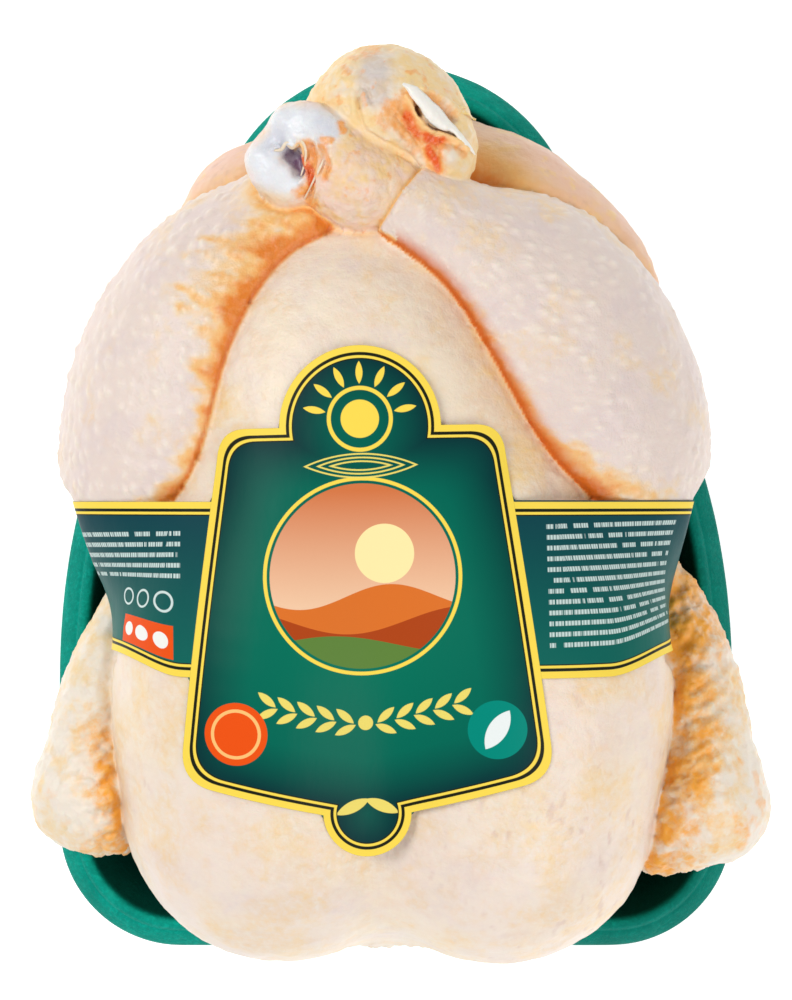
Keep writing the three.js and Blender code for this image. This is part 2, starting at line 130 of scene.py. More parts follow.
# Patches of colour on the hocks, in plan: what they are, half width, strength, places. The grey, dark and
# purple patches are painted shade: on curves and dimples of the knuckles and hocks, in slots and holes of the
# cut ends, and in the recess between the knuckles.
PATCHES = [
    ("white", 6.0, 1.0, [(-31.2, 104.2), (-26.0, 103.6), (-19.5, 102.6)]),
    ("white", 4.8, 1.0, [(-32.5, 100.0), (-36.0, 96.5)]),
    ("white", 6.4, 1.0, [(-37.4, 94.2), (-34.2, 89.8), (-30.4, 88.6)]),
    ("white", 3.4, 1.0, [(-32.0, 97.0), (-29.4, 99.6), (-28.6, 94.0)]),
    ("grey_shade", 2.8, 0.7, [(-39.4, 92.8)]),
    ("grey_shade", 2.2, 0.4, [(-32.4, 98.6), (-30.6, 96.6)]),
    ("grey_shade", 2.6, 0.25, [(-20.6, 103.6), (-17.4, 101.4)]),
    ("grey_shade", 2.8, 0.3, [(-32.4, 101.6), (-35.4, 97.6)]),
    ("purple_shade", 1.5, 0.9, [(-29.5, 95.2), (-28.0, 93.4), (-27.0, 90.6)]),
    ("dark_shade", 0.8, 0.45, [(-27.5, 95.6), (-26.7, 93.0), (-26.5, 90.6)]),
    ("yellow", 1.7, 1.0, [(-28.5, 99.7), (-25.1, 100.8), (-22.1, 99.3)]),
    ("yellow", 1.6, 0.9, [(-38.2, 86.6), (-35.6, 84.2), (-31.8, 83.2), (-28.4, 84.8)]),
    ("yellow", 1.4, 0.6, [(-37.6, 100.4), (-35.4, 103.0)]),
    ("meat", 2.4, 0.95, [(-24.6, 97.4), (-23.0, 94.4), (-22.8, 90.4)]),
    ("meat", 1.8, 0.85, [(-22.2, 91.2), (-24.4, 86.0), (-27.2, 84.8)]),
    ("red", 1.0, 1.0, [(-25.3, 93.8), (-24.4, 90.4), (-23.4, 87.4)]),
    ("rim", 0.6, 0.8, [(-28.6, 96.6), (-26.0, 98.2), (-24.9, 95.6), (-25.2, 92.4), (-26.0, 89.4)]),
    ("meat", 1.8, 0.8, [(-24.8, 86.2), (-23.2, 81.6)]),
    ("meat", 1.3, 0.7, [(-20.6, 97.0), (-18.6, 93.0), (-19.4, 88.0)]),
    ("yellow", 2.4, 0.9, [(-18.0, 104.2), (-14.6, 101.0), (-13.0, 97.4)]),
    ("meat", 1.2, 0.9, [(-15.6, 103.6), (-14.6, 101.6)]),
    ("meat", 1.1, 0.8, [(-20.0, 99.0), (-17.8, 98.4)]),
    ("yellow", 2.6, 0.7, [(-8.4, 98.8), (-1.0, 95.6), (3.6, 91.4)]),
    ("grey_shade", 5.0, 0.45, [(-6.0, 121.0), (-6.0, 112.0)]),
    ("meat", 2.4, 0.42, [(-8.4, 124.8), (-5.8, 125.6)]),
    ("meat", 1.0, 0.6, [(-14.2, 119.6), (-13.0, 118.2)]),
    ("meat", 1.0, 0.5, [(-12.8, 123.2), (-11.2, 122.6)]),
    ("yellow", 2.2, 1.0, [(-20.8, 112.8), (-20.2, 110.0)]),
    ("yellow", 1.8, 0.9, [(-15.6, 118.8), (-12.6, 115.0)]),
    ("yellow", 2.0, 0.9, [(1.6, 121.4), (7.4, 119.8), (10.6, 115.4)]),
    ("pale", 1.5, 0.8, [(-3.8, 103.6), (-1.7, 102.2), (1.9, 98.9), (5.5, 96.4), (6.8, 94.0)]),
    ("meat", 3.6, 0.9, [(-0.4, 107.6), (3.2, 110.0)]),
    ("meat", 3.2, 0.7, [(-2.6, 104.6), (0.4, 106.4)]),
    ("meat", 3.4, 1.0, [(3.0, 106.6), (5.6, 102.6), (8.8, 100.0), (12.6, 99.4)]),
    ("meat", 2.9, 1.0, [(9.6, 97.4), (11.2, 92.4)]),
    ("meat", 1.5, 0.7, [(17.2, 97.8), (18.8, 96.0)]),
    ("meat", 1.9, 0.6, [(8.7, 111.5), (12.3, 109.4), (15.6, 106.8)]),
    ("meat", 3.2, 0.8, [(-0.6, 105.4), (2.4, 102.6), (5.6, 99.0)]),
    ("red", 1.6, 0.85, [(3.3, 105.8), (4.6, 102.8), (6.0, 101.0)]),
    ("red", 1.7, 1.0, [(8.4, 100.4), (10.6, 99.6), (12.4, 100.2)]),
    ("red", 1.2, 1.0, [(9.4, 98.0), (10.0, 95.4), (11.4, 92.2)]),
    ("pale", 2.7, 1.0, [(13.6, 95.8), (14.8, 95.2)]),
    ("rim", 0.8, 1.0, [(2.6, 110.8), (4.4, 108.6), (5.9, 105.4), (7.3, 103.4), (9.5, 101.9), (12.3, 101.3),
                       (15.2, 100.4), (18.1, 99.0), (19.9, 97.3)]),
    ("dark_shade", 0.8, 1.0, [(6.3, 108.8), (6.8, 106.6)]),
    ("dark_shade", 0.6, 0.9, [(9.0, 103.8), (11.0, 102.7), (13.8, 102.2), (16.0, 101.7)]),
    ("dark_shade", 1.1, 0.35, [(13.0, 108.4), (16.0, 105.6)]),
    ("yellow", 1.3, 1.0, [(17.8, 108.4), (19.4, 106.6)]),
]
# Small parts of the cut hocks, laid on the skin's form: what they are, thickness, arch across, and
# places in plan (x, y, height above the form, half width), in mm.
HOCK_PARTS = [
    ("white", 1.2, 0.3, [(1.9, 114.8, -0.4, 0.5), (4.4, 113.0, 0.1, 1.6), (7.3, 110.1, 0.5, 2.1),
                         (10.2, 106.8, 0.8, 2.4), (13.1, 104.3, 0.8, 2.1), (15.9, 102.9, 0.8, 1.3),
                         (18.8, 100.0, 0.9, 0.9), (22.1, 96.6, 0.8, 0.3)]),
    ("yellow", 1.1, 0.5, [(17.6, 108.0, 0.2, 1.0), (19.6, 108.4, 1.2, 0.7), (22.6, 107.4, 1.6, 0.3)]),
    ("yellow", 0.8, 0.5, [(16.6, 109.0, 0.2, 0.7), (18.4, 109.8, 1.0, 0.5), (20.2, 110.2, 1.2, 0.2)]),
    ("pale", 0.7, 0.4, [(-33.6, 96.4, 0.1, 0.3), (-31.6, 96.7, 0.5, 0.5), (-30.2, 98.2, 0.7, 0.5),
                        (-28.5, 97.0, 0.5, 0.5), (-26.0, 98.2, 0.5, 0.5), (-24.8, 95.6, 0.4, 0.4),
                        (-25.2, 92.6, 0.3, 0.3), (-26.2, 89.4, 0.1, 0.2)]),
    ("pale", 0.5, 0.4, [(-19.8, 93.2, 0.1, 0.2), (-21.4, 90.0, 0.5, 0.4), (-22.9, 87.3, 0.3, 0.3),
                        (-25.4, 83.4, 0.1, 0.2)]),
    ("red", 0.5, 0.4, [(-26.0, 95.2, 0.1, 0.2), (-25.2, 92.2, 0.4, 0.4), (-24.2, 89.6, 0.1, 0.2)]),
]
# Steps of a swept ball from one station to the next, and how far from a limb its distance is
# still worked out, in mm.
STEPS_PER_STATION = 9
FAR = 30.0
# The skin has its fine mesh where it shows: above these heights, in mm.
SHOWN_ABOVE = 38
HOCKS_ABOVE = 76
# Flesh below the first height lies pressed in the tray, and above the second it is free.
PRESSED_BELOW, FREE_ABOVE = 30, 38

# The orange fat beside the breast: its width at places along Y, on the leg's side of the crease.
LEFT_FAT_WIDTH = [(-5, 9), (8, 6), (28, 5.5), (38, 8), (48, 12), (60, 15), (76, 13), (84, 10), (96, 7)]
RIGHT_FAT_WIDTH = [(-5, 18), (6, 14), (14, 8), (28, 5.5), (45, 4.5), (60, 3.6), (75, 3), (92, 2)]

# Tray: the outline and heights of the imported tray. head_turn is in degrees round the head's arc,
# and pull is how far the side's curve is drawn out at its ends.
TRAY = dict(half_width=102, foot_y=-135, head_y=132, corner=37, head_radius=56, side_top_y=-30,
            height=40, foam=4.5, rim=9, lean=13, head_turn=24, pull=50)

# Label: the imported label's places and widths, in the label's own axes. foot_slope is the share of
# across and of down in the direction that the lower edges face.
LABEL = dict(centre=(-8.9, -24.5), tilt=1.1, shoulder_y=44.5, shoulder=38.5, foot_y=-45, foot=50.3,
             arch=22, tab=12, tab_y=-61, foot_slope=(0.239, 0.971))
STRAP_TOP_Y, STRAP_FOOT_Y = -0.5, -48
BAND_AXIS_HEIGHT = 52
# The band laid flat: a turn of one radian round its axis is this long, in mm.
UNROLL = 90.0
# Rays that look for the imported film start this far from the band's axis, in mm.
RAY = 150

# The line across the bird, under the band, where the two halves of its skin meet.
SKIN_SEAM_Y = -24
SKIN_SEAM_RISE = 18

# Camera: straight above the pack, at the height and lens that give the photo's frame.
CAMERA_HEIGHT = 0.75
FRAME_HALF_HEIGHT = 500
PIXELS_PER_UNIT_SLOPE = 2366.7
SENSOR = 36

# Stage, in metres: half a side of the floor, and each softbox's place and side.
FLOOR_HALF_SIDE = 9.0
KEY_LIGHT = ((-0.75, 0.35, 1.05), 0.6)
FILL_LIGHT = ((0.8, -0.65, 1.15), 0.9)
LIGHTS_AIM = (0, 0, 0.06)


def linear(red, green, blue):
    """A colour given as 0 to 255 for a screen, as the linear values that a shader takes."""
    return tuple((c / 255 / 12.92 if c <= 10 else ((c / 255 + 0.055) / 1.055) ** 2.4)
                 for c in (red, green, blue))


# Small tools for points


def smoothstep(low, high, x):
    t = np.clip((x - low) / (high - low), 0, 1)
    return t * t * (3 - 2 * t)


MIXERS = np.array([73856093, 19349663, 83492791, 6971])
CHUNK = 20000


def drawn(mixed):
    """A fixed random number from -1 to 1 for each whole number."""
    mixed = ((mixed ^ (mixed >> 13)) * 1274126177) & 0xFFFFFFFF
    mixed = ((mixed ^ (mixed >> 16)) * 668265263) & 0xFFFFFFFF
    return (mixed ^ (mixed >> 15)) / 2147483648.0 - 1


def scatter(*keys):
    """A fixed random number from -1 to 1 for each set of whole numbers."""
    return drawn(sum(k.astype(np.int64) * m for k, m in zip(keys, MIXERS)))


def grain(points, size, seed=0):
    """Smooth noise from -1 to 1 at each point, with lumps about size across. size may be per axis."""
    total = np.zeros(len(points))
    for start in range(0, len(points), CHUNK):
        some = slice(start, start + CHUNK)
        place = (points[some] / np.asarray(size, float) + 31.7 * (seed + 1)).T
        cell = np.floor(place).astype(np.int64)
        part = place - cell
        part = part * part * (3 - 2 * part)
        shares = (1 - part, part)
        keys = [(cell + upper) * MIXERS[:3, None] for upper in (0, 1)]
        for i, j, k in np.ndindex(2, 2, 2):
            weight = shares[i][0] * shares[j][1] * shares[k][2]
            total[some] += weight * drawn(keys[i][0] + keys[j][1] + keys[k][2])
    return total


def rough(points, size, seed=0, octaves=3):
    """Noise with finer and finer lumps added."""
    return sum(grain(points, np.asarray(size) / 2 ** k, seed + 7 * k) / 2 ** k for k in range(octaves)) / 1.6


def lumps(points, size, seed=0):
    """Rounded lumps about size across: 1 at their middles, 0 in the creases between them."""
    place = points / size + 17.3 * (seed + 1)
    cell = np.floor(place).astype(np.int64)
    first, second = np.full(len(points), 9.0), np.full(len(points), 9.0)
    for step in np.ndindex(3, 3, 3):
        c = cell + np.array(step) - 1
        seat = [c[:, a] + 0.5 + 0.45 * scatter(*c.T, c[:, 0] * 0 + a + seed) for a in range(3)]
        d = np.sqrt(sum((place[:, a] - seat[a]) ** 2 for a in range(3)))
        second = np.minimum(second, np.maximum(first, d))
        first = np.minimum(first, d)
    return np.clip((second - first) * 1.6, 0, 1)


def swept(stations):
    """The balls (x, y, z, radius) of a ball swept smoothly through its stations."""
    s = np.array(stations, float)
    if len(s) == 1:
        return s
    s = np.vstack([2 * s[0] - s[1], s, 2 * s[-1] - s[-2]])
    balls = []
    for a, b, c, d in zip(s, s[1:], s[2:], s[3:]):
        for t in np.arange(STEPS_PER_STATION) / STEPS_PER_STATION:
            balls.append(0.5 * (2 * b + (c - a) * t + (2 * a - 5 * b + 4 * c - d) * t * t
                                + (3 * b - a - 3 * c + d) * t ** 3))
    balls.append(s[-2])
    return np.array(balls)


def ball_distance(points, balls):
    """How far each point is outside the nearest of the balls."""
    centre, radius = balls[:, :3], balls[:, 3]
    out = np.empty(len(points))
    for k in range(0, len(points), CHUNK):
        q = points[k:k + CHUNK]
        square = (q ** 2).sum(1)[:, None] - 2 * q @ centre.T + (centre ** 2).sum(1)
        out[k:k + CHUNK] = (np.sqrt(np.maximum(square, 0)) - radius).min(1)
    return out


def soft_min(a, b, width):
    share = np.clip(0.5 + 0.5 * (b - a) / width, 0, 1)
    return b + (a - b) * share - width * share * (1 - share)


BALLS = {name: [swept(m) for m in muscles] for name, (_, muscles) in LIMBS.items()}


def limb_distance(name, points):
    """How far points (in mm) are outside a limb's skin. Points well away from it get one far value."""
    every = np.vstack(BALLS[name])
    low = (every[:, :3] - every[:, 3:]).min(0) - FAR
    high = (every[:, :3] + every[:, 3:]).max(0) + FAR
    close = np.all((points > low) & (points < high), axis=1)
    total = None
    for balls in BALLS[name]:
        d = ball_distance(points[close], balls)
        total = d if total is None else soft_min(total, d, LIMBS[name][0])
    out = np.full(len(points), FAR)
    out[close] = total
    return out


def limb_distances(points):
    """Each limb's distance, with the creases between them: skin sinks where it passes under a
    neighbour's, and the breast's skin ends in a lip over it."""
    near = {name: limb_distance(name, points) for name in LIMBS}

    def sink(under, over, depth, width):
        near[under] = near[under] + depth * np.exp(-(np.maximum(near[over], 0) / width) ** 2)

    legs = np.minimum(near["left_leg"], near["right_leg"])
    for under, over, depth, width in (
        ("left_leg", "torso", 2.7, 1.8), ("right_leg", "torso", 3.6, 2.0),
        ("left_wing", "torso", 2.6, 2.4), ("right_wing", "torso", 2.6, 2.4),
        ("right_leg", "front_hock", 1.8, 1.5), ("left_leg", "front_hock", 2.0, 2.0),
        ("back_hock", "front_hock", 0.9, 1.6), ("torso", "front_hock", 0.9, 1.6),
    ):
        sink(under, over, depth, width)
    near["loins"] = near["loins"] + 2.2 * np.exp(-(np.maximum(legs, 0) / 2.2) ** 2)
    near["torso"] = near["torso"] - 0.7 * np.exp(-(np.maximum(legs, 0) / 3.4) ** 2)
    return near


def seam_distance(near):
    """How far points of the skin are from the crease where two limbs meet, in mm."""
    first, second = np.sort(np.array(list(near.values())), axis=0)[:2]
    return second - first


def body_distance(near):
    total = None
    for d in near.values():
        total = d if total is None else soft_min(total, d, 0.5)
    return total


def follicles(along, across, pitch):
    """How far each point of a skin is from its nearest feather follicle. They stand in staggered rows."""
    row_step = pitch * 0.866
    row = np.floor(along / row_step)
    nearest = np.full(len(along), 1e9)
    for up in (-1, 0, 1, 2):
        r = row + up
        shift = np.where(np.mod(r, 2) == 0, 0.0, 0.5)
        column = np.floor(across / pitch - shift)
        for side in (-1, 0, 1, 2):
            c = column + side
            a = r * row_step + 0.34 * pitch * scatter(r, c)
            b = (c + shift) * pitch + 0.34 * pitch * scatter(c, r)
            faint = 0.22 * pitch * np.maximum(scatter(r, c, r), 0)
            nearest = np.minimum(nearest, np.hypot(along - a, across - b) + faint)
    return nearest


def stroke_distance(points, line):
    """How far points are from a line of (x, y) places, seen from above."""
    line = np.array(line, float)
    best = np.full(len(points), 1e9)
    for a, b in zip(line, line[1:]):
        run = b - a
        t = np.clip(((points[:, :2] - a) @ run) / (run @ run), 0, 1)
        best = np.minimum(best, np.hypot(*(points[:, :2] - a - t[:, None] * run).T))
    return best


# Small tools for meshes


def new_object(name, mesh):
    made = bpy.data.objects.new(name, mesh)
    bpy.context.scene.collection.objects.link(made)
    return made


def mesh_from(name, points, faces):
    mesh = bpy.data.meshes.new(name)
    mesh.from_pydata([tuple(p) for p in points], [], [tuple(f) for f in faces])
    mesh.update()
    return mesh


def points_of(mesh):
    co = np.empty(len(mesh.vertices) * 3)
    mesh.vertices.foreach_get("co", co)
    return co.reshape(-1, 3)


def put_points(mesh, points):
    mesh.vertices.foreach_set("co", np.ascontiguousarray(points, float).ravel())
    mesh.update()


def normals_of(mesh):
    out = np.empty(len(mesh.vertices) * 3)
    mesh.vertex_normals.foreach_get("vector", out)
    return out.reshape(-1, 3)


def edges_of(mesh):
    out = np.empty(len(mesh.edges) * 2, np.int64)
    mesh.edges.foreach_get("vertices", out)
    return out.reshape(-1, 2)


def relaxed(values, edges, rounds, share=0.5):
    """Values of vertices, each drawn towards the mean of its neighbours."""
    values = np.array(values, float)
    flat = values.reshape(len(values), -1)
    count = np.bincount(edges.ravel(), minlength=len(flat))[:, None]
    for _ in range(rounds):
        total = np.stack([
            np.bincount(edges[:, 0], flat[edges[:, 1], k], len(flat))
            + np.bincount(edges[:, 1], flat[edges[:, 0], k], len(flat))
            for k in range(flat.shape[1])], 1)
        flat = flat + share * (total / np.maximum(count, 1) - flat)
    return flat.reshape(values.shape)


def with_modifiers(piece):
    """Applies the piece's modifiers to its mesh."""
    dg = bpy.context.evaluated_depsgraph_get()
    mesh = bpy.data.meshes.new_from_object(piece.evaluated_get(dg))
    piece.modifiers.clear()
    old, piece.data = piece.data, mesh
    bpy.data.meshes.remove(old)
    return piece


def store(mesh, name, values):
    """Keeps a value for each vertex under a name that a material reads."""
    values = np.asarray(values, np.float32)
    kind, field = ("FLOAT", "value") if values.ndim == 1 else ("FLOAT_VECTOR", "vector")
    mesh.attributes.new(name, kind, "POINT").data.foreach_set(field, values.ravel())


# Small tools for materials


class Wire:
    """A shader value that takes arithmetic, so that a pattern can be written as a formula."""

    def __init__(self, tree, socket):
        self.tree, self.socket = tree, socket

    def _join(self, operation, *others, clamp=False):
        node = self.tree.nodes.new("ShaderNodeMath")
        node.operation, node.use_clamp = operation, clamp
        for place, value in enumerate((self, *others)):
            if isinstance(value, Wire):
                self.tree.links.new(value.socket, node.inputs[place])
            else:
                node.inputs[place].default_value = value
        return Wire(self.tree, node.outputs[0])

    def __add__(self, other):
        return self._join("ADD", other)

    __radd__ = __add__

    def __sub__(self, other):
        return self._join("SUBTRACT", other)

    def __rsub__(self, other):
        return (self * -1) + other

    def __mul__(self, other):
        return self._join("MULTIPLY", other)

    __rmul__ = __mul__

    def __abs__(self):
        return self._join("ABSOLUTE")

    def least(self, other):
        return self._join("MINIMUM", other)

    def most(self, other):
        return self._join("MAXIMUM", other)

    def clamped(self):
        return self._join("ADD", 0, clamp=True)

    def power(self, exponent):
        return self._join("POWER", exponent)

    def wave(self):
        return self._join("SINE")

    def wrapped(self, high, low):
        return self._join("WRAP", high, low)

    def ramp(self, low, high):
        """0 below low, 1 above high."""
        return ((self - low) * (1 / (high - low))).clamped()


class Finish:
    """A material under construction: one Principled shader and short calls for the rest."""

    def __init__(self, name, **shader):
        self.material = bpy.data.materials.new(name)
        self.material.use_nodes = True
        self.tree = self.material.node_tree
        self.shader = self.tree.nodes["Principled BSDF"]
        for socket, value in shader.items():
            self.shader.inputs[socket.replace("_", " ")].default_value = value
        self.place = self._node("ShaderNodeTexCoord").outputs["Object"]

    def _node(self, kind, **settings):
        node = self.tree.nodes.new(kind)
        for name, value in settings.items():
            setattr(node, name, value)
        return node

    def mask(self, name):
        return Wire(self.tree, self._node("ShaderNodeAttribute", attribute_name=name).outputs["Fac"])

    def vector_mask(self, name):
        split = self._node("ShaderNodeSeparateXYZ")
        found = self._node("ShaderNodeAttribute", attribute_name=name).outputs["Vector"]
        self.tree.links.new(found, split.inputs[0])
        return [Wire(self.tree, s) for s in split.outputs]

    def noise(self, size, detail=3.0, roughness=0.55, stretch=None, warp=0.0):
        """Noise from 0 to 1 with lumps about size across, in metres. stretch scales the place first."""
        place = self.place
        if stretch:
            mapping = self._node("ShaderNodeMapping")
            mapping.inputs["Scale"].default_value = stretch
            self.tree.links.new(place, mapping.inputs["Vector"])
            place = mapping.outputs[0]
        node = self._node("ShaderNodeTexNoise")
        self.tree.links.new(place, node.inputs["Vector"])
        node.inputs["Scale"].default_value = 1 / size
        node.inputs["Detail"].default_value = detail
        node.inputs["Roughness"].default_value = roughness
        node.inputs["Distortion"].default_value = warp
        return Wire(self.tree, node.outputs["Fac"])

    def over(self, below, colour, share):
        """A colour laid over another by a share."""
        mix = self._node("ShaderNodeMix", data_type="RGBA", clamp_factor=True)
        self.tree.links.new(share.socket, mix.inputs["Factor"])
        for place, value in ((6, below), (7, colour)):
            if isinstance(value, bpy.types.NodeSocket):
                self.tree.links.new(value, mix.inputs[place])
            else:
                mix.inputs[place].default_value = (*value, 1)
        return mix.outputs[2]

    def paint(self, colour):
        self.tree.links.new(colour, self.shader.inputs["Base Color"])

    def drive(self, socket, wire):
        self.tree.links.new(wire.socket, self.shader.inputs[socket])

    def relief(self, height, depth, strength=1.0):
        """Fine relief: height is 0 to 1, and depth is what 1 stands for, in metres."""
        bump = self._node("ShaderNodeBump")
        bump.inputs["Strength"].default_value = strength
        bump.inputs["Distance"].default_value = depth
        self.tree.links.new(height.socket, bump.inputs["Height"])
        self.tree.links.new(bump.outputs[0], self.shader.inputs["Normal"])


# Skin of the bird


class SkinSettings(bpy.types.PropertyGroup):
    """Sizes and colours of the bird's skin."""

    mesh_size: FloatProperty(
        name="Mesh size", default=1.6 * MM, min=1 * MM, subtype="DISTANCE", unit="LENGTH",
        description="Side of the skin's facets where it is hidden; half of it where it shows")
    bump_pitch: FloatProperty(
        name="Follicle pitch", description="Distance between neighbouring feather follicles",
        default=4.2 * MM, min=1 * MM, subtype="DISTANCE", unit="LENGTH")
    bump_height: FloatProperty(
        name="Follicle height", description="How far a follicle stands out on the legs",
        default=0.8 * MM, min=0, subtype="DISTANCE", unit="LENGTH")
    breast: FloatVectorProperty(
        name="Breast", description="Colour of the breast's skin", size=3, subtype="COLOR",
        min=0, max=1, default=linear(244, 228, 205))
    blush: FloatVectorProperty(
        name="Blush", description="Pink of thin skin over meat", size=3, subtype="COLOR",
        min=0, max=1, default=linear(235, 212, 205))
    leg: FloatVectorProperty(
        name="Legs", description="Colour of the drumsticks' skin", size=3, subtype="COLOR",
        min=0, max=1, default=linear(228, 210, 203))
    loin: FloatVectorProperty(
        name="Loins", description="Colour of the smooth skin beyond the drumsticks", size=3,
        subtype="COLOR", min=0, max=1, default=linear(239, 193, 168))
    fat: FloatVectorProperty(
        name="Fat", description="Orange of the fat in the creases", size=3, subtype="COLOR",
        min=0, max=1, default=linear(238, 142, 42))
    yellow: FloatVectorProperty(
        name="Yellow fat", description="Yellow of thin fat under the skin", size=3, subtype="COLOR",
        min=0, max=1, default=linear(246, 206, 124))
    white: FloatVectorProperty(
        name="Cartilage", description="Blue white of the bare knuckles", size=3, subtype="COLOR",
        min=0, max=1, default=linear(232, 234, 238))
    meat: FloatVectorProperty(
        name="Meat", description="Orange of the hocks' cut ends", size=3, subtype="COLOR",
        min=0, max=1, default=linear(244, 168, 92))
    red: FloatVectorProperty(
        name="Red meat", description="Red of the hocks' cut ends", size=3, subtype="COLOR",
        min=0, max=1, default=linear(232, 100, 40))
    # Painted shade: the purple laid in the recess between the knuckles.
    purple_shade: FloatVectorProperty(
        name="Recess_shade", description="Purple of the recess between the knuckles", size=3,
        subtype="COLOR", min=0, max=1, default=linear(122, 88, 118))


def refined(mesh, chosen):
    """Splits the edges of the chosen vertices' faces once."""
    bm = bmesh.new()
    bm.from_mesh(mesh)
    bm.verts.ensure_lookup_table()
    edges = [e for e in bm.edges if chosen[e.verts[0].index] and chosen[e.verts[1].index]]
    bmesh.ops.subdivide_edges(bm, edges=edges, cuts=1, use_grid_fill=True)
    bm.to_mesh(mesh)
    bm.free()
    mesh.update()


def drawn_to_forms(mesh, rounds, chosen=None):
    """Moves vertices along their normals onto the limbs' smooth forms. Flesh that the tray presses
    keeps its packed place and is only smoothed."""
    edges = edges_of(mesh)
    p = points_of(mesh) / MM
    chosen = np.ones(len(p), bool) if chosen is None else chosen
    free = smoothstep(PRESSED_BELOW, FREE_ABOVE, p[:, 2]) * chosen
    shown = free > 0.01
    for k in range(rounds):
        put_points(mesh, p * MM)
        normals = normals_of(mesh)
        off = np.zeros(len(p))
        off[shown] = np.clip(body_distance(limb_distances(p[shown])), -2.4, 2.4)
        p = p - (off * free * 0.9)[:, None] * normals
        pull = relaxed(p, edges, 1, 0.5) - p
        along = pull - (pull * normals).sum(1)[:, None] * normals
        level = 0.35 if k < rounds - 2 else 0.0
        p = p + chosen[:, None] * (0.8 * along + level * (pull - along))
    put_points(mesh, p * MM)
    off = np.zeros(len(p))
    off[shown] = body_distance(limb_distances(p[shown]))
    folded = relaxed((np.abs(off) > 0.8).astype(float), edges, 2) > 0.05
    p[folded] = relaxed(p, edges, 12)[folded]
    still = (1 - free) * chosen
    p = p + still[:, None] * (relaxed(p, edges, 12) - p)
    put_points(mesh, p * MM)


def leg_axes(points, name):
    """How far along a leg and how far round it a point is, in mm."""
    balls = BALLS[name][0]
    start, end = balls[4, :3], balls[-1, :3]
    axis = (end - start) / np.linalg.norm(end - start)
    side = np.cross(axis, (0, 0, 1))
    side /= np.linalg.norm(side)
    up = np.cross(side, axis)
    rel = points - start
    angle = np.arctan2(rel @ side, rel @ up)
    return rel @ axis, angle * 34


def shares_of(near, width):
    """How much each limb's skin is the skin at a point, from 0 to 1."""
    least_gap = np.min(list(near.values()), axis=0)
    share = {k: np.exp(-(d - least_gap) / width) for k, d in near.items()}
    total = sum(share.values())
    return {k: v / total for k, v in share.items()}


def streaks(p, seed):
    """Noise drawn out across the legs, as the folds of their skin run."""
    return rough(np.stack([p[:, 1] + 0.3 * p[:, 0], p[:, 0] * 0.4, p[:, 2] * 0.4], 1), 2.7, seed)


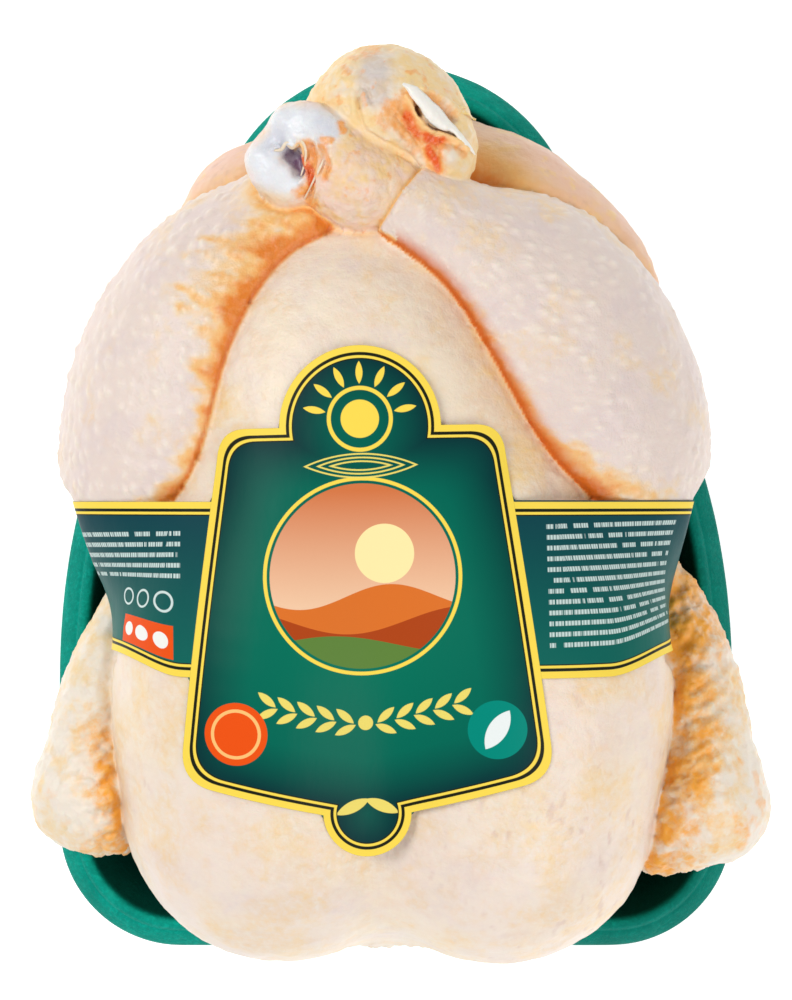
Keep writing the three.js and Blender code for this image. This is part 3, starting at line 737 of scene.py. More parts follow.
def skin_masks(p, near):
    """What each stretch of skin is like, from 0 to 1, at points in mm."""
    share = shares_of(near, 0.4)
    rim = np.maximum(near["torso"], 0)
    x, y, z = p.T
    blotch = rough(p, 15, 5)
    fine = rough(p, 4, 9)
    above = smoothstep(34, 56, z)
    torso, bulb, back_hock = share["torso"], share["front_hock"], share["back_hock"]
    thighs = share["left_leg"] + share["right_leg"]
    wings = share["left_wing"] + share["right_wing"]
    front, back = np.maximum(near["front_hock"], 0), np.maximum(near["back_hock"], 0)
    legs = np.maximum(np.minimum(near["left_leg"], near["right_leg"]), 0)

    fat = torso * 0.5 * np.exp(-legs / 0.8) * above
    for leg, widths, seed in (("left_leg", LEFT_FAT_WIDTH, 13), ("right_leg", RIGHT_FAT_WIDTH, 14)):
        width = np.interp(y, *zip(*widths))
        ragged = rim + width * (0.55 * streaks(p, seed) + 0.3 * fine)
        full = 1 - smoothstep(-0.1, 1.2, ragged / width)
        glow = 0.88 * full + 0.3 * np.exp(-(rim / (0.35 * width + 0.8)) ** 2)
        fat += share[leg] * glow * above
    # On the right loin the fat's orange is laid deepest in the corner by the hocks, as painted shade of the
    # hocks, and along the right leg as fat.
    corner = np.exp(-(np.hypot(x - 22, y - 89) / 14) ** 2)
    fat_and_shade_by_right_leg = 0.8 * corner + 0.25 * np.exp(-legs / 3.5)
    fat += share["loins"] * np.where(x > 0, fat_and_shade_by_right_leg, 0.35 * np.exp(-legs / 4))
    fat += share["right_leg"] * 0.7 * np.exp(-(front / 1.0) ** 2)
    fat += share["left_leg"] * 0.6 * np.exp(-(front / 3) ** 1.5) * (0.8 + 0.8 * fine)
    fat += torso * 0.4 * np.exp(-(front / 1.2) ** 2)

    knobs = np.zeros(len(p))
    on_wing = wings > 0.02
    knobs[on_wing] = lumps(p[on_wing], 4.2, 3) * 0.6 + lumps(p[on_wing], 2.0, 4) * 0.4
    edge = torso * smoothstep(64, 46, z) * smoothstep(-40, -60, y)
    on_edge = edge > 0.05
    knobs[on_edge] = lumps(p[on_edge], 3.8, 6)
    reach = np.where(x > 0, 12.5, 9.0) * (1 + 0.6 * blotch)
    band = np.exp(-(rim / reach) ** 2) * np.where(x > 0, 1.0, smoothstep(-52, -78, y))
    specks = smoothstep(0.2, 0.5, rough(p, 5, 19)) * np.where(x > 0, 0.8, 0.45 * smoothstep(-60, -90, y))
    root = smoothstep(-52, -34, y) * smoothstep(0, 40, x)
    amber = wings * (band * (0.75 + 1.1 * fine - 0.35 * knobs) + 0.5 * specks + 0.45 * root)
    fat += edge * 0.5 * smoothstep(0.15, 0.5, rough(p, 5, 23)) * smoothstep(0, 30, x)

    net = 1 - np.abs(rough(p, 5.5, 8)) * 3
    yellow = torso * 0.55 * smoothstep(-0.15, 0.5, blotch) * (0.6 + 0.4 * smoothstep(-90, -30, y))
    yellow += torso * 0.25 * smoothstep(0.0, 0.6, rough(p, 8, 12)) + torso * 0.15 * smoothstep(0.1, 0.5, fine)
    hocks = back_hock + bulb
    yellow += back_hock * (0.45 + 0.7 * blotch) + 0.7 * hocks * smoothstep(0.0, 0.6, rough(p, 4.5, 26))
    yellow += (0.5 * bulb + 0.6 * back_hock) * np.clip(net, 0, 1)
    yellow += share["loins"] * (0.08 + 0.4 * rough(p, 9, 18) + 0.6 * smoothstep(0.2, 0.5, rough(p, 4, 38)))
    yellow += wings * np.clip(0.2 + 0.8 * blotch + 0.9 * fine + 0.9 * band * knobs, 0, 1)
    yellow += thighs * 0.35 * smoothstep(0.1, 0.5, rough(p, 10, 17))
    yellow += 0.6 * share["left_leg"] * np.exp(-(front / 9) ** 2)
    yellow += share["right_leg"] * 0.55 * smoothstep(76, 88, y) * (0.6 + 0.8 * fine)
    blush = 0.3 + 0.7 * rough(p, 20, 21) + 0.35 * fine
    seam = np.where(x > 0, 1, 0.35 + 0.35 * smoothstep(25, 45, y) * smoothstep(88, 74, y))
    seam_from, seam_to = np.where(x > 0, [[1.5], [7.0]], [[0.3], [2.4]])
    masks = {
        "leg": thighs,
        "loin": share["loins"],
        "wing": wings,
        "fat": fat,
        "amber": amber,
        "yellow": yellow,
        "blush": blush,
        "knobs": knobs,
        "hock": hocks,
        "rosy": bulb * (0.85 + 0.7 * rough(p, 5, 25))
                + back_hock * 0.3 * smoothstep(0.1, 0.5, rough(p, 8, 28))
                + share["loins"] * 0.55 * smoothstep(-0.1, 0.5, rough(p, 11, 30)),
        "meat": (back_hock * smoothstep(100, 112, y) + 0.9 * bulb * smoothstep(-22, -18, x))
                * 0.5 * smoothstep(0.3, 0.6, rough(p, 2.4, 27)),
        "lilac": (thighs + 0.5 * torso + 0.5 * back_hock) * smoothstep(0.0, 0.45, rough(p, 11, 45)),
        "low": torso * smoothstep(-30, -75, y) * (0.3 + 0.7 * smoothstep(-0.25, 0.25, rough(p, 24, 46))),
        # Painted shade beside the right leg's crease makes the breast tan there; the rest is tan patches at
        # random and over the back hock.
        "tan_and_shade": torso * (np.exp(-(legs / 11) ** 2) * smoothstep(-5, 12, x) * smoothstep(80, 45, y)
                        + 0.12 * smoothstep(-0.1, 0.6, rough(p, 12, 48))) + 0.2 * back_hock,
        # The crease's line: orange fat, darkened to brown as painted shade of the crease.
        "crease": seam * np.exp(-(legs / 1.2) ** 2) * above * (1 - smoothstep(seam_from, seam_to, rim)),
    }
    ragged = np.stack([x, y], 1) + 0.8 * np.stack([rough(p, 2.4, 91), rough(p, 2.4, 92)], 1)
    on_top = smoothstep(78, 83, z) * (bulb + back_hock)
    top = on_top > 0
    for kind, width, strength, line in PATCHES:
        d = stroke_distance(ragged[top], line)
        patch = np.zeros(len(p))
        patch[top] = strength * (1 - smoothstep(0.35 * width, 1.35 * width, d)) * on_top[top]
        masks[kind] = np.maximum(masks.get(kind, 0), patch)
    return {name: np.clip(values, 0, 1) for name, values in masks.items()}


def skin_relief(p, near, masks, pitch, height):
    """How far the skin stands out of its smooth form, in mm, how near a follicle is, and how near a pore."""
    x, y, z = p.T
    share = shares_of(near, 0.9)
    rim = np.maximum(near["torso"], 0)
    legs = np.maximum(np.minimum(near["left_leg"], near["right_leg"]), 0)
    torso = share["torso"]
    thighs = share["left_leg"] + share["right_leg"]
    bumps = np.zeros(len(p))
    for name in ("left_leg", "right_leg"):
        along, round_ = leg_axes(p, name)
        d = follicles(along + 0.4 * round_, round_, pitch)
        bumps += share[name] * np.exp(-(d / (0.28 * pitch)) ** 2)
    rough_skin = np.where(x < 0, 0.75, 0.4 + 0.5 * np.exp(-(np.hypot(x - 40, y - 62) / 26) ** 2))
    bumps *= np.clip(rough_skin + 0.5 * rough(p, 16, 31) + 0.7 * rough(p, 5, 32), 0.05, 1.4)
    pores = smoothstep(0.3, 0.6, rough(np.stack([x, y * 0.5, z * 0.5], 1), 1.9, 36)) * torso
    pores *= smoothstep(-30, -60, y) * smoothstep(0.0, 0.5, rough(p, 14, 35) + 0.25 * np.sign(x))
    pores += share["loins"] * smoothstep(0.3, 0.6, rough(p, 2.1, 39))

    lift = height * bumps - 0.12 * pores
    lift += 0.7 * rough(p, 26, 41) + 0.4 * rough(p, 9, 43) + 0.18 * rough(p, 3, 44)
    lift += thighs * (0.12 * streaks(p, 33) - 0.3 * np.abs(rough(p, 9, 34)))
    lift += 0.45 * torso * np.exp(-legs / 2.0) * rough(p, 2.2, 47)
    lift += 1.3 * torso * smoothstep(66, 46, z) * smoothstep(-40, -60, y) * (masks["knobs"] - 0.35)
    across = np.abs(rough(np.stack([x * 0.3, y, z * 0.3], 1), 3.4, 49))
    lift -= 0.9 * torso * across * smoothstep(22, 42, x) * smoothstep(34, 16, y) * smoothstep(-6, 0, y)
    lift -= 0.3 * torso * np.abs(rough(p, (16, 9, 16), 51))
    lift += share["loins"] * 0.35 * rough(p, (8, 4, 8), 50)
    wings = masks["wing"]
    turned = np.stack([0.8 * x + 0.6 * y, 0.8 * y - 0.6 * x, z], 1)
    folds = 1 - 2.4 * np.abs(rough(turned, (9, 4.2, 8), 53, 2))
    by_breast = wings * np.exp(-(rim / 15) ** 2) * np.where(x > 0, 1, smoothstep(-48, -75, y))
    lift += by_breast * (2.0 * folds + 1.8 * (masks["knobs"] - 0.4))
    lift += wings * (0.6 * rough(p, 8, 57) + 0.4 * (masks["knobs"] - 0.4) - 0.5 * np.abs(rough(p, 10, 58)))
    hock = share["front_hock"] + share["back_hock"]
    bare = masks["white"]
    wrinkles = 0.45 * rough(p, 5, 61) + 0.32 * rough(p, 1.9, 62) - 0.5 * np.abs(rough(p, 7, 63))
    lift += hock * (1 - bare) * wrinkles
    lift += bare * 0.5 * rough(p, 7, 64)
    lift += np.maximum(masks["meat"], masks["red"]) * 0.6 * rough(p, (1.6, 2.6, 2), 67)
    on_top = smoothstep(76, 81, z) * hock
    bent = np.stack([x, y], 1) + 0.5 * np.stack([rough(p, 2.6, 93), rough(p, 2.6, 94)], 1)
    top = on_top > 0
    for width, depth, line in STROKES:
        lift[top] += depth * on_top[top] * np.exp(-(stroke_distance(bent[top], line) / width) ** 2)
    lift *= 1 - 0.8 * np.exp(-(seam_distance(near) / 0.8) ** 2)
    return lift, bumps, pores


def beyond_band(x, y):
    """How far a place of the body's side lies outside the line to which the straps draw it, in mm."""
    limit = np.where(x < 0, 92.3 + 0.3 * y, 84.8 + 0.207 * y)
    limit = limit + 0.5 * np.maximum(y, 0) + 1.1 * np.maximum(STRAP_FOOT_Y + 3 - y, 0)
    over = np.abs(x) - limit
    return np.where(over > 1, over, np.maximum(over + 1, 0) ** 2 / 4)


def skin_finish(s):
    f = Finish("moist_skin", Roughness=0.4, Subsurface_Weight=0.1, Subsurface_Scale=0.003,
               Subsurface_Radius=(1.0, 0.4, 0.22), Specular_IOR_Level=0.42)
    fine = f.noise(0.0026, 4, 0.65)
    stray = (fine - 0.5) * 2.2

    def part(name, spread=0.5):
        value = f.mask(name)
        return (value + stray * spread * value.ramp(0, 0.3)).clamped()

    colour = f.over(s.breast, s.blush, part("blush", 0.8) * 0.6)
    colour = f.over(colour, linear(243, 227, 217), part("low", 0.3) * 0.62)
    # Tan: painted shade of the breast beside the right leg's crease, and the skin's own tan patches.
    colour = f.over(colour, linear(226, 174, 124), part("tan_and_shade", 0.4) * 0.6)
    colour = f.over(colour, s.leg, part("leg", 0.2) * 0.8)
    colour = f.over(colour, linear(220, 202, 202), part("lilac", 0.6) * 0.35)
    colour = f.over(colour, s.loin, part("loin", 0.2))
    colour = f.over(colour, linear(242, 232, 218), part("wing", 0.3) * 0.85)
    colour = f.over(colour, linear(240, 224, 200), part("hock", 0.3) * 0.9)
    colour = f.over(colour, linear(240, 204, 188), part("rosy", 0.6) * 0.8)
    colour = f.over(colour, s.yellow, part("yellow", 0.9) * 0.68)
    colour = f.over(colour, linear(208, 168, 156), f.mask("pore") * 0.35)
    fat = f.mask("fat")
    colour = f.over(colour, s.yellow, fat.ramp(0.02, 0.4) * 0.8)
    colour = f.over(colour, s.fat, (fat * 1.15 - 0.15 + stray * fat * 0.6).clamped())
    colour = f.over(colour, linear(204, 92, 28), fat.ramp(0.6, 1.05) * 0.4)
    colour = f.over(colour, linear(255, 176, 64), part("amber", 0.7))
    colour = f.over(colour, linear(248, 236, 220), f.mask("follicle") * (fat * -0.6 + 0.65).clamped())
    # Orange fat along the crease between breast and legs, darkened to brown as painted shade of the crease.
    colour = f.over(colour, linear(206, 96, 20), f.mask("crease") * 0.95)
    colour = f.over(colour, s.white, part("white", 0.15))
    # Painted shade: grey on the curves and dimples of the knuckles and hocks.
    colour = f.over(colour, linear(186, 184, 202), part("grey_shade", 0.2))
    colour = f.over(colour, linear(240, 226, 206), part("pale", 0.5))
    colour = f.over(colour, s.meat, part("meat", 0.8))
    colour = f.over(colour, s.red, part("red", 0.8))
    # Painted shade: purple in the recess between the knuckles.
    colour = f.over(colour, s.purple_shade, part("purple_shade", 0.4))
    colour = f.over(colour, linear(252, 204, 140), part("rim", 0.5))
    # Painted shade: dark brown in the slots and holes of the cut ends and in the knuckles' recess.
    colour = f.over(colour, linear(112, 62, 34), part("dark_shade", 0.3))
    f.paint(colour)
    wet = f.mask("white").most(f.mask("red"))
    f.drive("Roughness", 0.44 - fine.ramp(0.4, 0.7) * 0.12 - wet * 0.14)
    f.relief(fine, 0.0009, 0.5)
    return f.material


def skin_half(source, name, breast_end):
    """A copy of the skin on one side of a line that the band hides."""
    mesh = source.copy()
    p = points_of(mesh) / MM
    on_breast_end = p[:, 1] < SKIN_SEAM_Y + SKIN_SEAM_RISE * smoothstep(58, 72, np.abs(p[:, 0]))
    bm = bmesh.new()
    bm.from_mesh(mesh)
    faces = [g for g in bm.faces if on_breast_end[g.verts[0].index] != breast_end]
    bmesh.ops.delete(bm, geom=faces, context="FACES")
    bm.to_mesh(mesh)
    bm.free()
    mesh.update()
    return new_object(name, mesh)


def height_of_forms(x, y):
    """The height of the limbs' forms at places of the plan, in mm."""
    z = np.full(len(x), 125.0)
    for _ in range(20):
        z = np.maximum(z - body_distance(limb_distances(np.stack([x, y, z], 1))), 80)
    return z


def laid_strip(spine, thickness, arch, seed):
    """A closed strip along places in plan, laid on the limbs' forms and arched across. All in mm."""
    s = swept(spine)
    run = np.gradient(s[:, :2], axis=0)
    run /= np.linalg.norm(run, axis=1)[:, None]
    side = np.stack([-run[:, 1], run[:, 0]], 1)
    across = np.array([-1, -0.85, -0.5, 0, 0.5, 0.85, 1])
    wander = 1 + 0.35 * rough(s[:, :3], 2.2, seed)
    ring = []
    for face, shares in ((1, across), (-1, across[-2:0:-1])):
        for v in shares:
            place = s[:, :2] + side * (v * s[:, 3] * wander)[:, None]
            body = face * thickness / 2 * math.sqrt(max(0, 1 - v * v)) * np.minimum(1, s[:, 3])
            above = s[:, 2] + arch * s[:, 3] * (1 - v * v) + body
            ring.append(np.column_stack([place, above]))
    n, count = len(s), len(ring)
    points = np.array(ring).transpose(1, 0, 2).reshape(-1, 3)
    points[:, 2] += height_of_forms(points[:, 0], points[:, 1]) + 0.25 * rough(points, 1.6, seed + 3)
    faces = []
    for here in range(0, (n - 1) * count, count):
        ahead = here + count
        for k in range(count):
            after = (k + 1) % count
            faces.append((here + k, here + after, ahead + after, ahead + k))
    faces += [tuple(range(count - 1, -1, -1)), tuple((n - 1) * count + k for k in range(count))]
    return points, faces


def hock_part_finish(s):
    f = Finish("hock_parts", Roughness=0.36, Subsurface_Weight=0.12, Subsurface_Scale=0.002,
               Subsurface_Radius=(1.0, 0.5, 0.3))
    fibre = f.noise(0.0016, 4, 0.65)
    stray = (fibre - 0.5) * 2
    colour = f.over(linear(250, 245, 236), linear(228, 200, 166), stray.ramp(0.2, 0.7) * 0.35)
    tones = {"pale": linear(240, 220, 192), "yellow": s.yellow, "meat": s.meat, "red": s.red}
    for name, tone in tones.items():
        mask = f.mask(name)
        colour = f.over(colour, tone, (mask + stray * mask * 1.1).clamped())
    f.paint(colour)
    f.relief(fibre, 0.0006, 0.5)
    return f.material


def remeshed(piece, size):
    """The piece's mesh, made again of even facets."""
    remesh = piece.modifiers.new("even", "REMESH")
    remesh.mode, remesh.voxel_size = "VOXEL", size
    return with_modifiers(piece).data


def by_hocks(p, distance, height):
    """Which points lie within a distance of the hocks and above a height, all in mm."""
    off = np.minimum(limb_distance("front_hock", p), limb_distance("back_hock", p))
    return (off < distance) & (p[:, 2] > height)


def without_spikes(p, edges, near):
    """Points of the skin, smoothed where they stand out in a crease as a spike or a small fold."""
    spiked = (np.linalg.norm(p - relaxed(p, edges, 2), axis=1) > 0.28) & (seam_distance(near) < 2.2)
    spiked = relaxed(spiked.astype(float), edges, 2) > 0.04
    p[spiked] = relaxed(p, edges, 10)[spiked]
    return p


class DRESS_OT_skin(bpy.types.Operator):
    """Makes the bird's skin over its packed form: smooth limbs, follicles, fat, knuckles"""

    bl_idname = "dress.skin"
    bl_label = "Chicken skin"

    def execute(self, context):
        s = context.scene.skin_settings
        work = new_object("skin_work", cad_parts["chicken"].data.copy())
        mesh = remeshed(work, s.mesh_size)
        drawn_to_forms(mesh, 5)
        mesh = remeshed(work, s.mesh_size)
        drawn_to_forms(mesh, 3)
        p = points_of(mesh) / MM
        refined(mesh, (p[:, 2] > SHOWN_ABOVE) & (film_cover(p) < 0.9))
        drawn_to_forms(mesh, 3)
        refined(mesh, by_hocks(points_of(mesh) / MM, 2.5, HOCKS_ABOVE))
        drawn_to_forms(mesh, 3, by_hocks(points_of(mesh) / MM, 3.5, HOCKS_ABOVE - 2))
        p = points_of(mesh) / MM
        near = limb_distances(p)
        normals = normals_of(mesh)
        masks = skin_masks(p, near)
        lift, follicle, pore = skin_relief(p, near, masks, s.bump_pitch / MM, s.bump_height / MM)
        lift *= 1 - 0.8 * film_cover(p)
        p += lift[:, None] * normals
        drawn_in = beyond_band(p[:, 0], p[:, 1]) * (1 - masks["wing"]) * smoothstep(28, 44, p[:, 2])
        p[:, 0] -= np.sign(p[:, 0]) * drawn_in
        put_points(mesh, without_spikes(p, edges_of(mesh), near) * MM)
        for name, values in masks.items():
            if name != "knobs":
                store(mesh, name, values)
        store(mesh, "follicle", follicle)
        store(mesh, "pore", pore)
        mesh.materials.clear()
        mesh.materials.append(skin_finish(s))
        mesh.shade_smooth()
        pieces = [skin_half(mesh, "skin_breast_end", True), skin_half(mesh, "skin_tail_end", False)]
        bpy.data.objects.remove(work)
        for piece in pieces:
            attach(piece, "root")
        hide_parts("chicken")
        return {"FINISHED"}


class HockPartSettings(bpy.types.PropertyGroup):
    """Build of the small parts of the cut hocks."""

    thickness: FloatProperty(
        name="Thickness", description="Thickness of the parts against their usual one",
        default=1, min=0.2, max=3)
    arch: FloatProperty(
        name="Arch", description="How far the parts are arched across against their usual arch",
        default=1, min=0, max=3)


class DRESS_OT_hock_parts(bpy.types.Operator):
    """Makes the sinew, the meat and the rims of skin on the cut hocks"""

    bl_idname = "dress.hock_parts"
    bl_label = "Parts of the cut hocks"

    def execute(self, context):
        s = context.scene.hock_part_settings
        points, faces, kinds = [], [], []
        for seed, (kind, thickness, arch, spine) in enumerate(HOCK_PARTS):
            more, shape = laid_strip(spine, thickness * s.thickness, arch * s.arch, 101 + seed)
            faces += [tuple(k + len(kinds) for k in g) for g in shape]
            points.append(more)
            kinds += [kind] * len(more)
        piece = new_object("hock_parts", mesh_from("hock_parts", np.vstack(points) * MM, faces))
        for name in ("pale", "yellow", "meat", "red"):
            store(piece.data, name, [float(kind == name) for kind in kinds])
        piece.data.shade_smooth()
        piece.data.materials.append(hock_part_finish(context.scene.skin_settings))
        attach(piece, "root")
        return {"FINISHED"}


# Printed band


class BandSettings(bpy.types.PropertyGroup):
    """Sizes and colours of the printed film band."""

    mesh_size: FloatProperty(
        name="Mesh size", description="Side of the film's facets", default=1.8 * MM,
        min=0.8 * MM, subtype="DISTANCE", unit="LENGTH")
    thickness: FloatProperty(
        name="Thickness", description="Thickness of the film", default=0.2 * MM,
        min=0.05 * MM, subtype="DISTANCE", unit="LENGTH")
    clearance: FloatProperty(
        name="Clearance", description="Distance of the film's outer side from the flesh", default=0.55 * MM,
        min=0.3 * MM, subtype="DISTANCE", unit="LENGTH")
    foot_rise: FloatProperty(
        name="Rise of the foot", description="How far the straps' lower edge is drawn up at the sides",
        default=5.5 * MM, min=0, subtype="DISTANCE", unit="LENGTH")
    border: FloatVectorProperty(
        name="Border", description="Yellow of the border", size=3, subtype="COLOR",
        min=0, max=1, default=linear(252, 220, 84))
    line: FloatVectorProperty(
        name="Line", description="Black of the border's line", size=3, subtype="COLOR",
        min=0, max=1, default=linear(30, 34, 22))
    field: FloatVectorProperty(
        name="Field", description="Green of the label's field", size=3, subtype="COLOR",
        min=0, max=1, default=linear(0, 98, 82))
    shade: FloatVectorProperty(
        name="Field's edge", description="Dark green near the label's border", size=3,
        subtype="COLOR", min=0, max=1, default=linear(8, 44, 52))
    accent: FloatVectorProperty(
        name="Accent", description="Orange of the small motifs", size=3, subtype="COLOR",
        min=0, max=1, default=linear(238, 84, 20))
    pale: FloatVectorProperty(
        name="Pale print", description="Pale yellow of the ornaments", size=3, subtype="COLOR",
        min=0, max=1, default=linear(240, 220, 110))


def least(a, b):
    return a.least(b) if isinstance(a, Wire) else np.minimum(a, b)


def most(a, b):
    return a.most(b) if isinstance(a, Wire) else np.maximum(a, b)


def length(a, b):
    return (a * a + b * b).power(0.5) if isinstance(a, Wire) else np.hypot(a, b)


def soft_most(a, b, width):
    """The greater of two distances, rounded over a width. It works on numbers and on shader values."""
    share = least(most((b - a) * (0.5 / width) + 0.5, 0), 1)
    return a + (b - a) * share + share * (1 - share) * width


def label_distance(x, y):
    """How far a place of the label's plane is outside the label, negative inside, in mm."""
    lab = LABEL
    spread = (lab["foot"] - lab["shoulder"]) / (lab["shoulder_y"] - lab["foot_y"])
    lean = math.cos(math.atan(spread))
    side = (abs(x) - lab["shoulder"] + (y - lab["shoulder_y"]) * spread) * lean
    top = y - lab["shoulder_y"]
    across, down = lab["foot_slope"]
    foot = (abs(x) - lab["tab"]) * across - (y - lab["tab_y"]) * down
    body = soft_most(soft_most(side, top, 7), foot, 9)
    arch = length(x, y - lab["shoulder_y"]) - lab["arch"]
    tab = length(x, y - lab["tab_y"]) - lab["tab"]
    return least(least(body, arch), tab)


def label_axes(x, y):
    """Places of the plan, in mm, in the label's own axes."""
    turn = math.radians(LABEL["tilt"])
    dx, dy = x - LABEL["centre"][0], y - LABEL["centre"][1]
    return dx * math.cos(turn) + dy * math.sin(turn), dy * math.cos(turn) - dx * math.sin(turn)


def film_cover(p):
    """1 where the film lies over the bird, 0 well away from it. The wings lie outside it."""
    strap = np.maximum(p[:, 1] - STRAP_TOP_Y, STRAP_FOOT_Y - p[:, 1])
    label = np.where(p[:, 2] > 60, label_distance(*label_axes(p[:, 0], p[:, 1])), 99)
    wing = np.minimum(limb_distance("left_wing", p), limb_distance("right_wing", p))
    body = np.minimum(limb_distance("torso", p),
                      np.minimum(limb_distance("left_leg", p), limb_distance("right_leg", p)))
    return (1 - smoothstep(-1, 2.5, np.minimum(strap, label))) * smoothstep(-1, 1, wing - body)


class FilmSurface:
    """The film's smooth outer surface, as a distance from the band's axis at an angle and a Y. It is
    drawn tight over the breast and the legs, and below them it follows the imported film."""

    def __init__(self, clearance):
        self.angles = np.radians(np.arange(0, 360, 1.5))
        self.rows = np.arange(-102.0, 48.0, 2.0)
        turns, ys = (g.ravel() for g in np.meshgrid(self.angles, self.rows))
        out = np.stack([np.cos(turns), turns * 0, np.sin(turns)], 1)
        axis = np.stack([turns * 0, ys, turns * 0 + BAND_AXIS_HEIGHT], 1)
        flesh = np.full(len(out), 120.0)
        open_rays = np.arange(len(out))
        for _ in range(16):
            p = axis[open_rays] + out[open_rays] * flesh[open_rays, None]
            near = limb_distances(p)
            off = body_distance({k: d for k, d in near.items() if "wing" not in k})
            flesh[open_rays] = np.maximum(flesh[open_rays] - off, 20)
            open_rays = open_rays[(off > 0.05) & (flesh[open_rays] > 20)]
        place = axis + out * flesh[:, None]
        flesh -= beyond_band(place[:, 0], place[:, 1]) * np.abs(out[:, 0]) * (out[:, 2] > -0.35)
        strap = np.maximum(ys - STRAP_TOP_Y, STRAP_FOOT_Y - ys)
        label = np.where(out[:, 2] > 0.3, label_distance(*label_axes(place[:, 0], place[:, 1])), 99)
        shape = (len(self.rows), len(self.angles))
        known = (np.minimum(strap, label) < 2).astype(float).reshape(shape)
        need = (flesh + clearance).reshape(shape) * known
        reach = need
        for _ in range(26):
            smooth = self.blurred(reach, 1.2) / np.maximum(self.blurred(known, 1.2), 1e-6)
            reach = np.maximum(need, smooth) * known
        packed = BVHTree.FromPolygons(*polygons_of(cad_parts["printed_band"].data))
        low = np.zeros(len(out))
        for k in np.nonzero((strap < 2) & (out[:, 2] < 0))[0]:
            start = Vector(axis[k] * MM)
            hit = packed.ray_cast(start + Vector(out[k]) * (RAY * MM), -Vector(out[k]), RAY * MM)
            if hit[0] is not None:
                low[k] = RAY - hit[3] / MM
        low = low.reshape(shape)
        below = smoothstep(44, 37, BAND_AXIS_HEIGHT + low * np.sin(self.angles)) * (low > 0)
        reach = reach * (1 - below) + low * below
        for cells in (1.5, 5, 14):
            spread = self.blurred(known, cells)
            fill = self.blurred(reach * known, cells) / np.maximum(spread, 1e-6)
            reach = np.where((known < 0.5) & (spread > 0.02), fill, reach)
            known = np.maximum(known, spread > 0.02)
        self.reach = reach

    def blurred(self, grid, cells):
        """A grid smoothed over a few cells, round the band without a seam."""
        reach = int(3 * cells)
        weights = np.exp(-0.5 * (np.arange(-reach, reach + 1) / cells) ** 2)
        weights /= weights.sum()
        wrapped = np.concatenate([grid[:, -reach:], grid, grid[:, :reach]], 1)
        wrapped = sum(w * wrapped[:, k:k + grid.shape[1]] for k, w in enumerate(weights))
        tall = np.pad(wrapped, ((reach, reach), (0, 0)))
        return sum(w * tall[k:k + grid.shape[0]] for k, w in enumerate(weights))

    def at(self, angle, y):
        """The reach at angles and Ys, between the grid's values."""
        turn = np.mod(angle, 2 * math.pi) / (self.angles[1] - self.angles[0])
        j = np.floor(turn).astype(int)
        u = turn - j
        place = np.clip((y - self.rows[0]) / (self.rows[1] - self.rows[0]), 0, len(self.rows) - 1.001)
        i = np.floor(place).astype(int)
        v = place - i
        n = len(self.angles)
        a, b = self.reach[i, j % n], self.reach[i, (j + 1) % n]
        c, d = self.reach[i + 1, j % n], self.reach[i + 1, (j + 1) % n]
        return (a * (1 - u) + b * u) * (1 - v) + (c * (1 - u) + d * u) * v

    def angle_of_plan(self, x, y):
        """The angle at which the film's upper side lies above a place of the plan."""
        turns = np.radians(np.arange(12, 168.1, 0.5))
        found = np.empty(len(x))
        for k in range(len(x)):
            across = self.at(turns, np.full(len(turns), y[k])) * np.cos(turns)
            found[k] = np.interp(-x[k], -across, turns)
        return found


def polygons_of(mesh):
    return [v.co.copy() for v in mesh.vertices], [list(g.vertices) for g in mesh.polygons]


def label_outline():
    """Places of the plan round the label's edge, found along rays from a seat inside it: the
    outermost step that lies inside, and then halving."""
    turns = np.radians(np.arange(0, 360, 0.6))
    across, along = np.cos(turns), np.sin(turns)
    seat_y = -5.0

    def inside(reach):
        return label_distance(across * reach, seat_y + along * reach) < 0

    steps = np.arange(95, 5, -0.5)
    low = steps[np.argmax([inside(step) for step in steps], axis=0)] - 0.5
    high = low + 1
    for _ in range(12):
        middle = (low + high) / 2
        within = inside(middle)
        low, high = np.where(within, middle, low), np.where(within, high, middle)
    x, y = across * low, seat_y + along * low
    turn = math.radians(LABEL["tilt"])
    px = x * math.cos(turn) - y * math.sin(turn) + LABEL["centre"][0]
    py = x * math.sin(turn) + y * math.cos(turn) + LABEL["centre"][1]
    return px, py


def evenly(points, step):
    """Points of a line, spaced evenly by about step."""
    points = np.array(points, float)
    run = np.concatenate([[0], np.cumsum(np.hypot(*np.diff(points, axis=0).T))])
    marks = np.linspace(0, run[-1], max(2, int(round(run[-1] / step)) + 1))
    return np.stack([np.interp(marks, run, points[:, 0]), np.interp(marks, run, points[:, 1])], 1)


def outside_of_band(theta, y, surface):
    """How far places of the film's surface are outside the band's outline, in mm."""
    strap = np.maximum(y - STRAP_TOP_Y, STRAP_FOOT_Y - y)
    x = surface.at(theta, y) * np.cos(theta)
    label = np.where(np.sin(theta) > 0.2, label_distance(*label_axes(x, y)), 99)
    return np.minimum(strap, label)


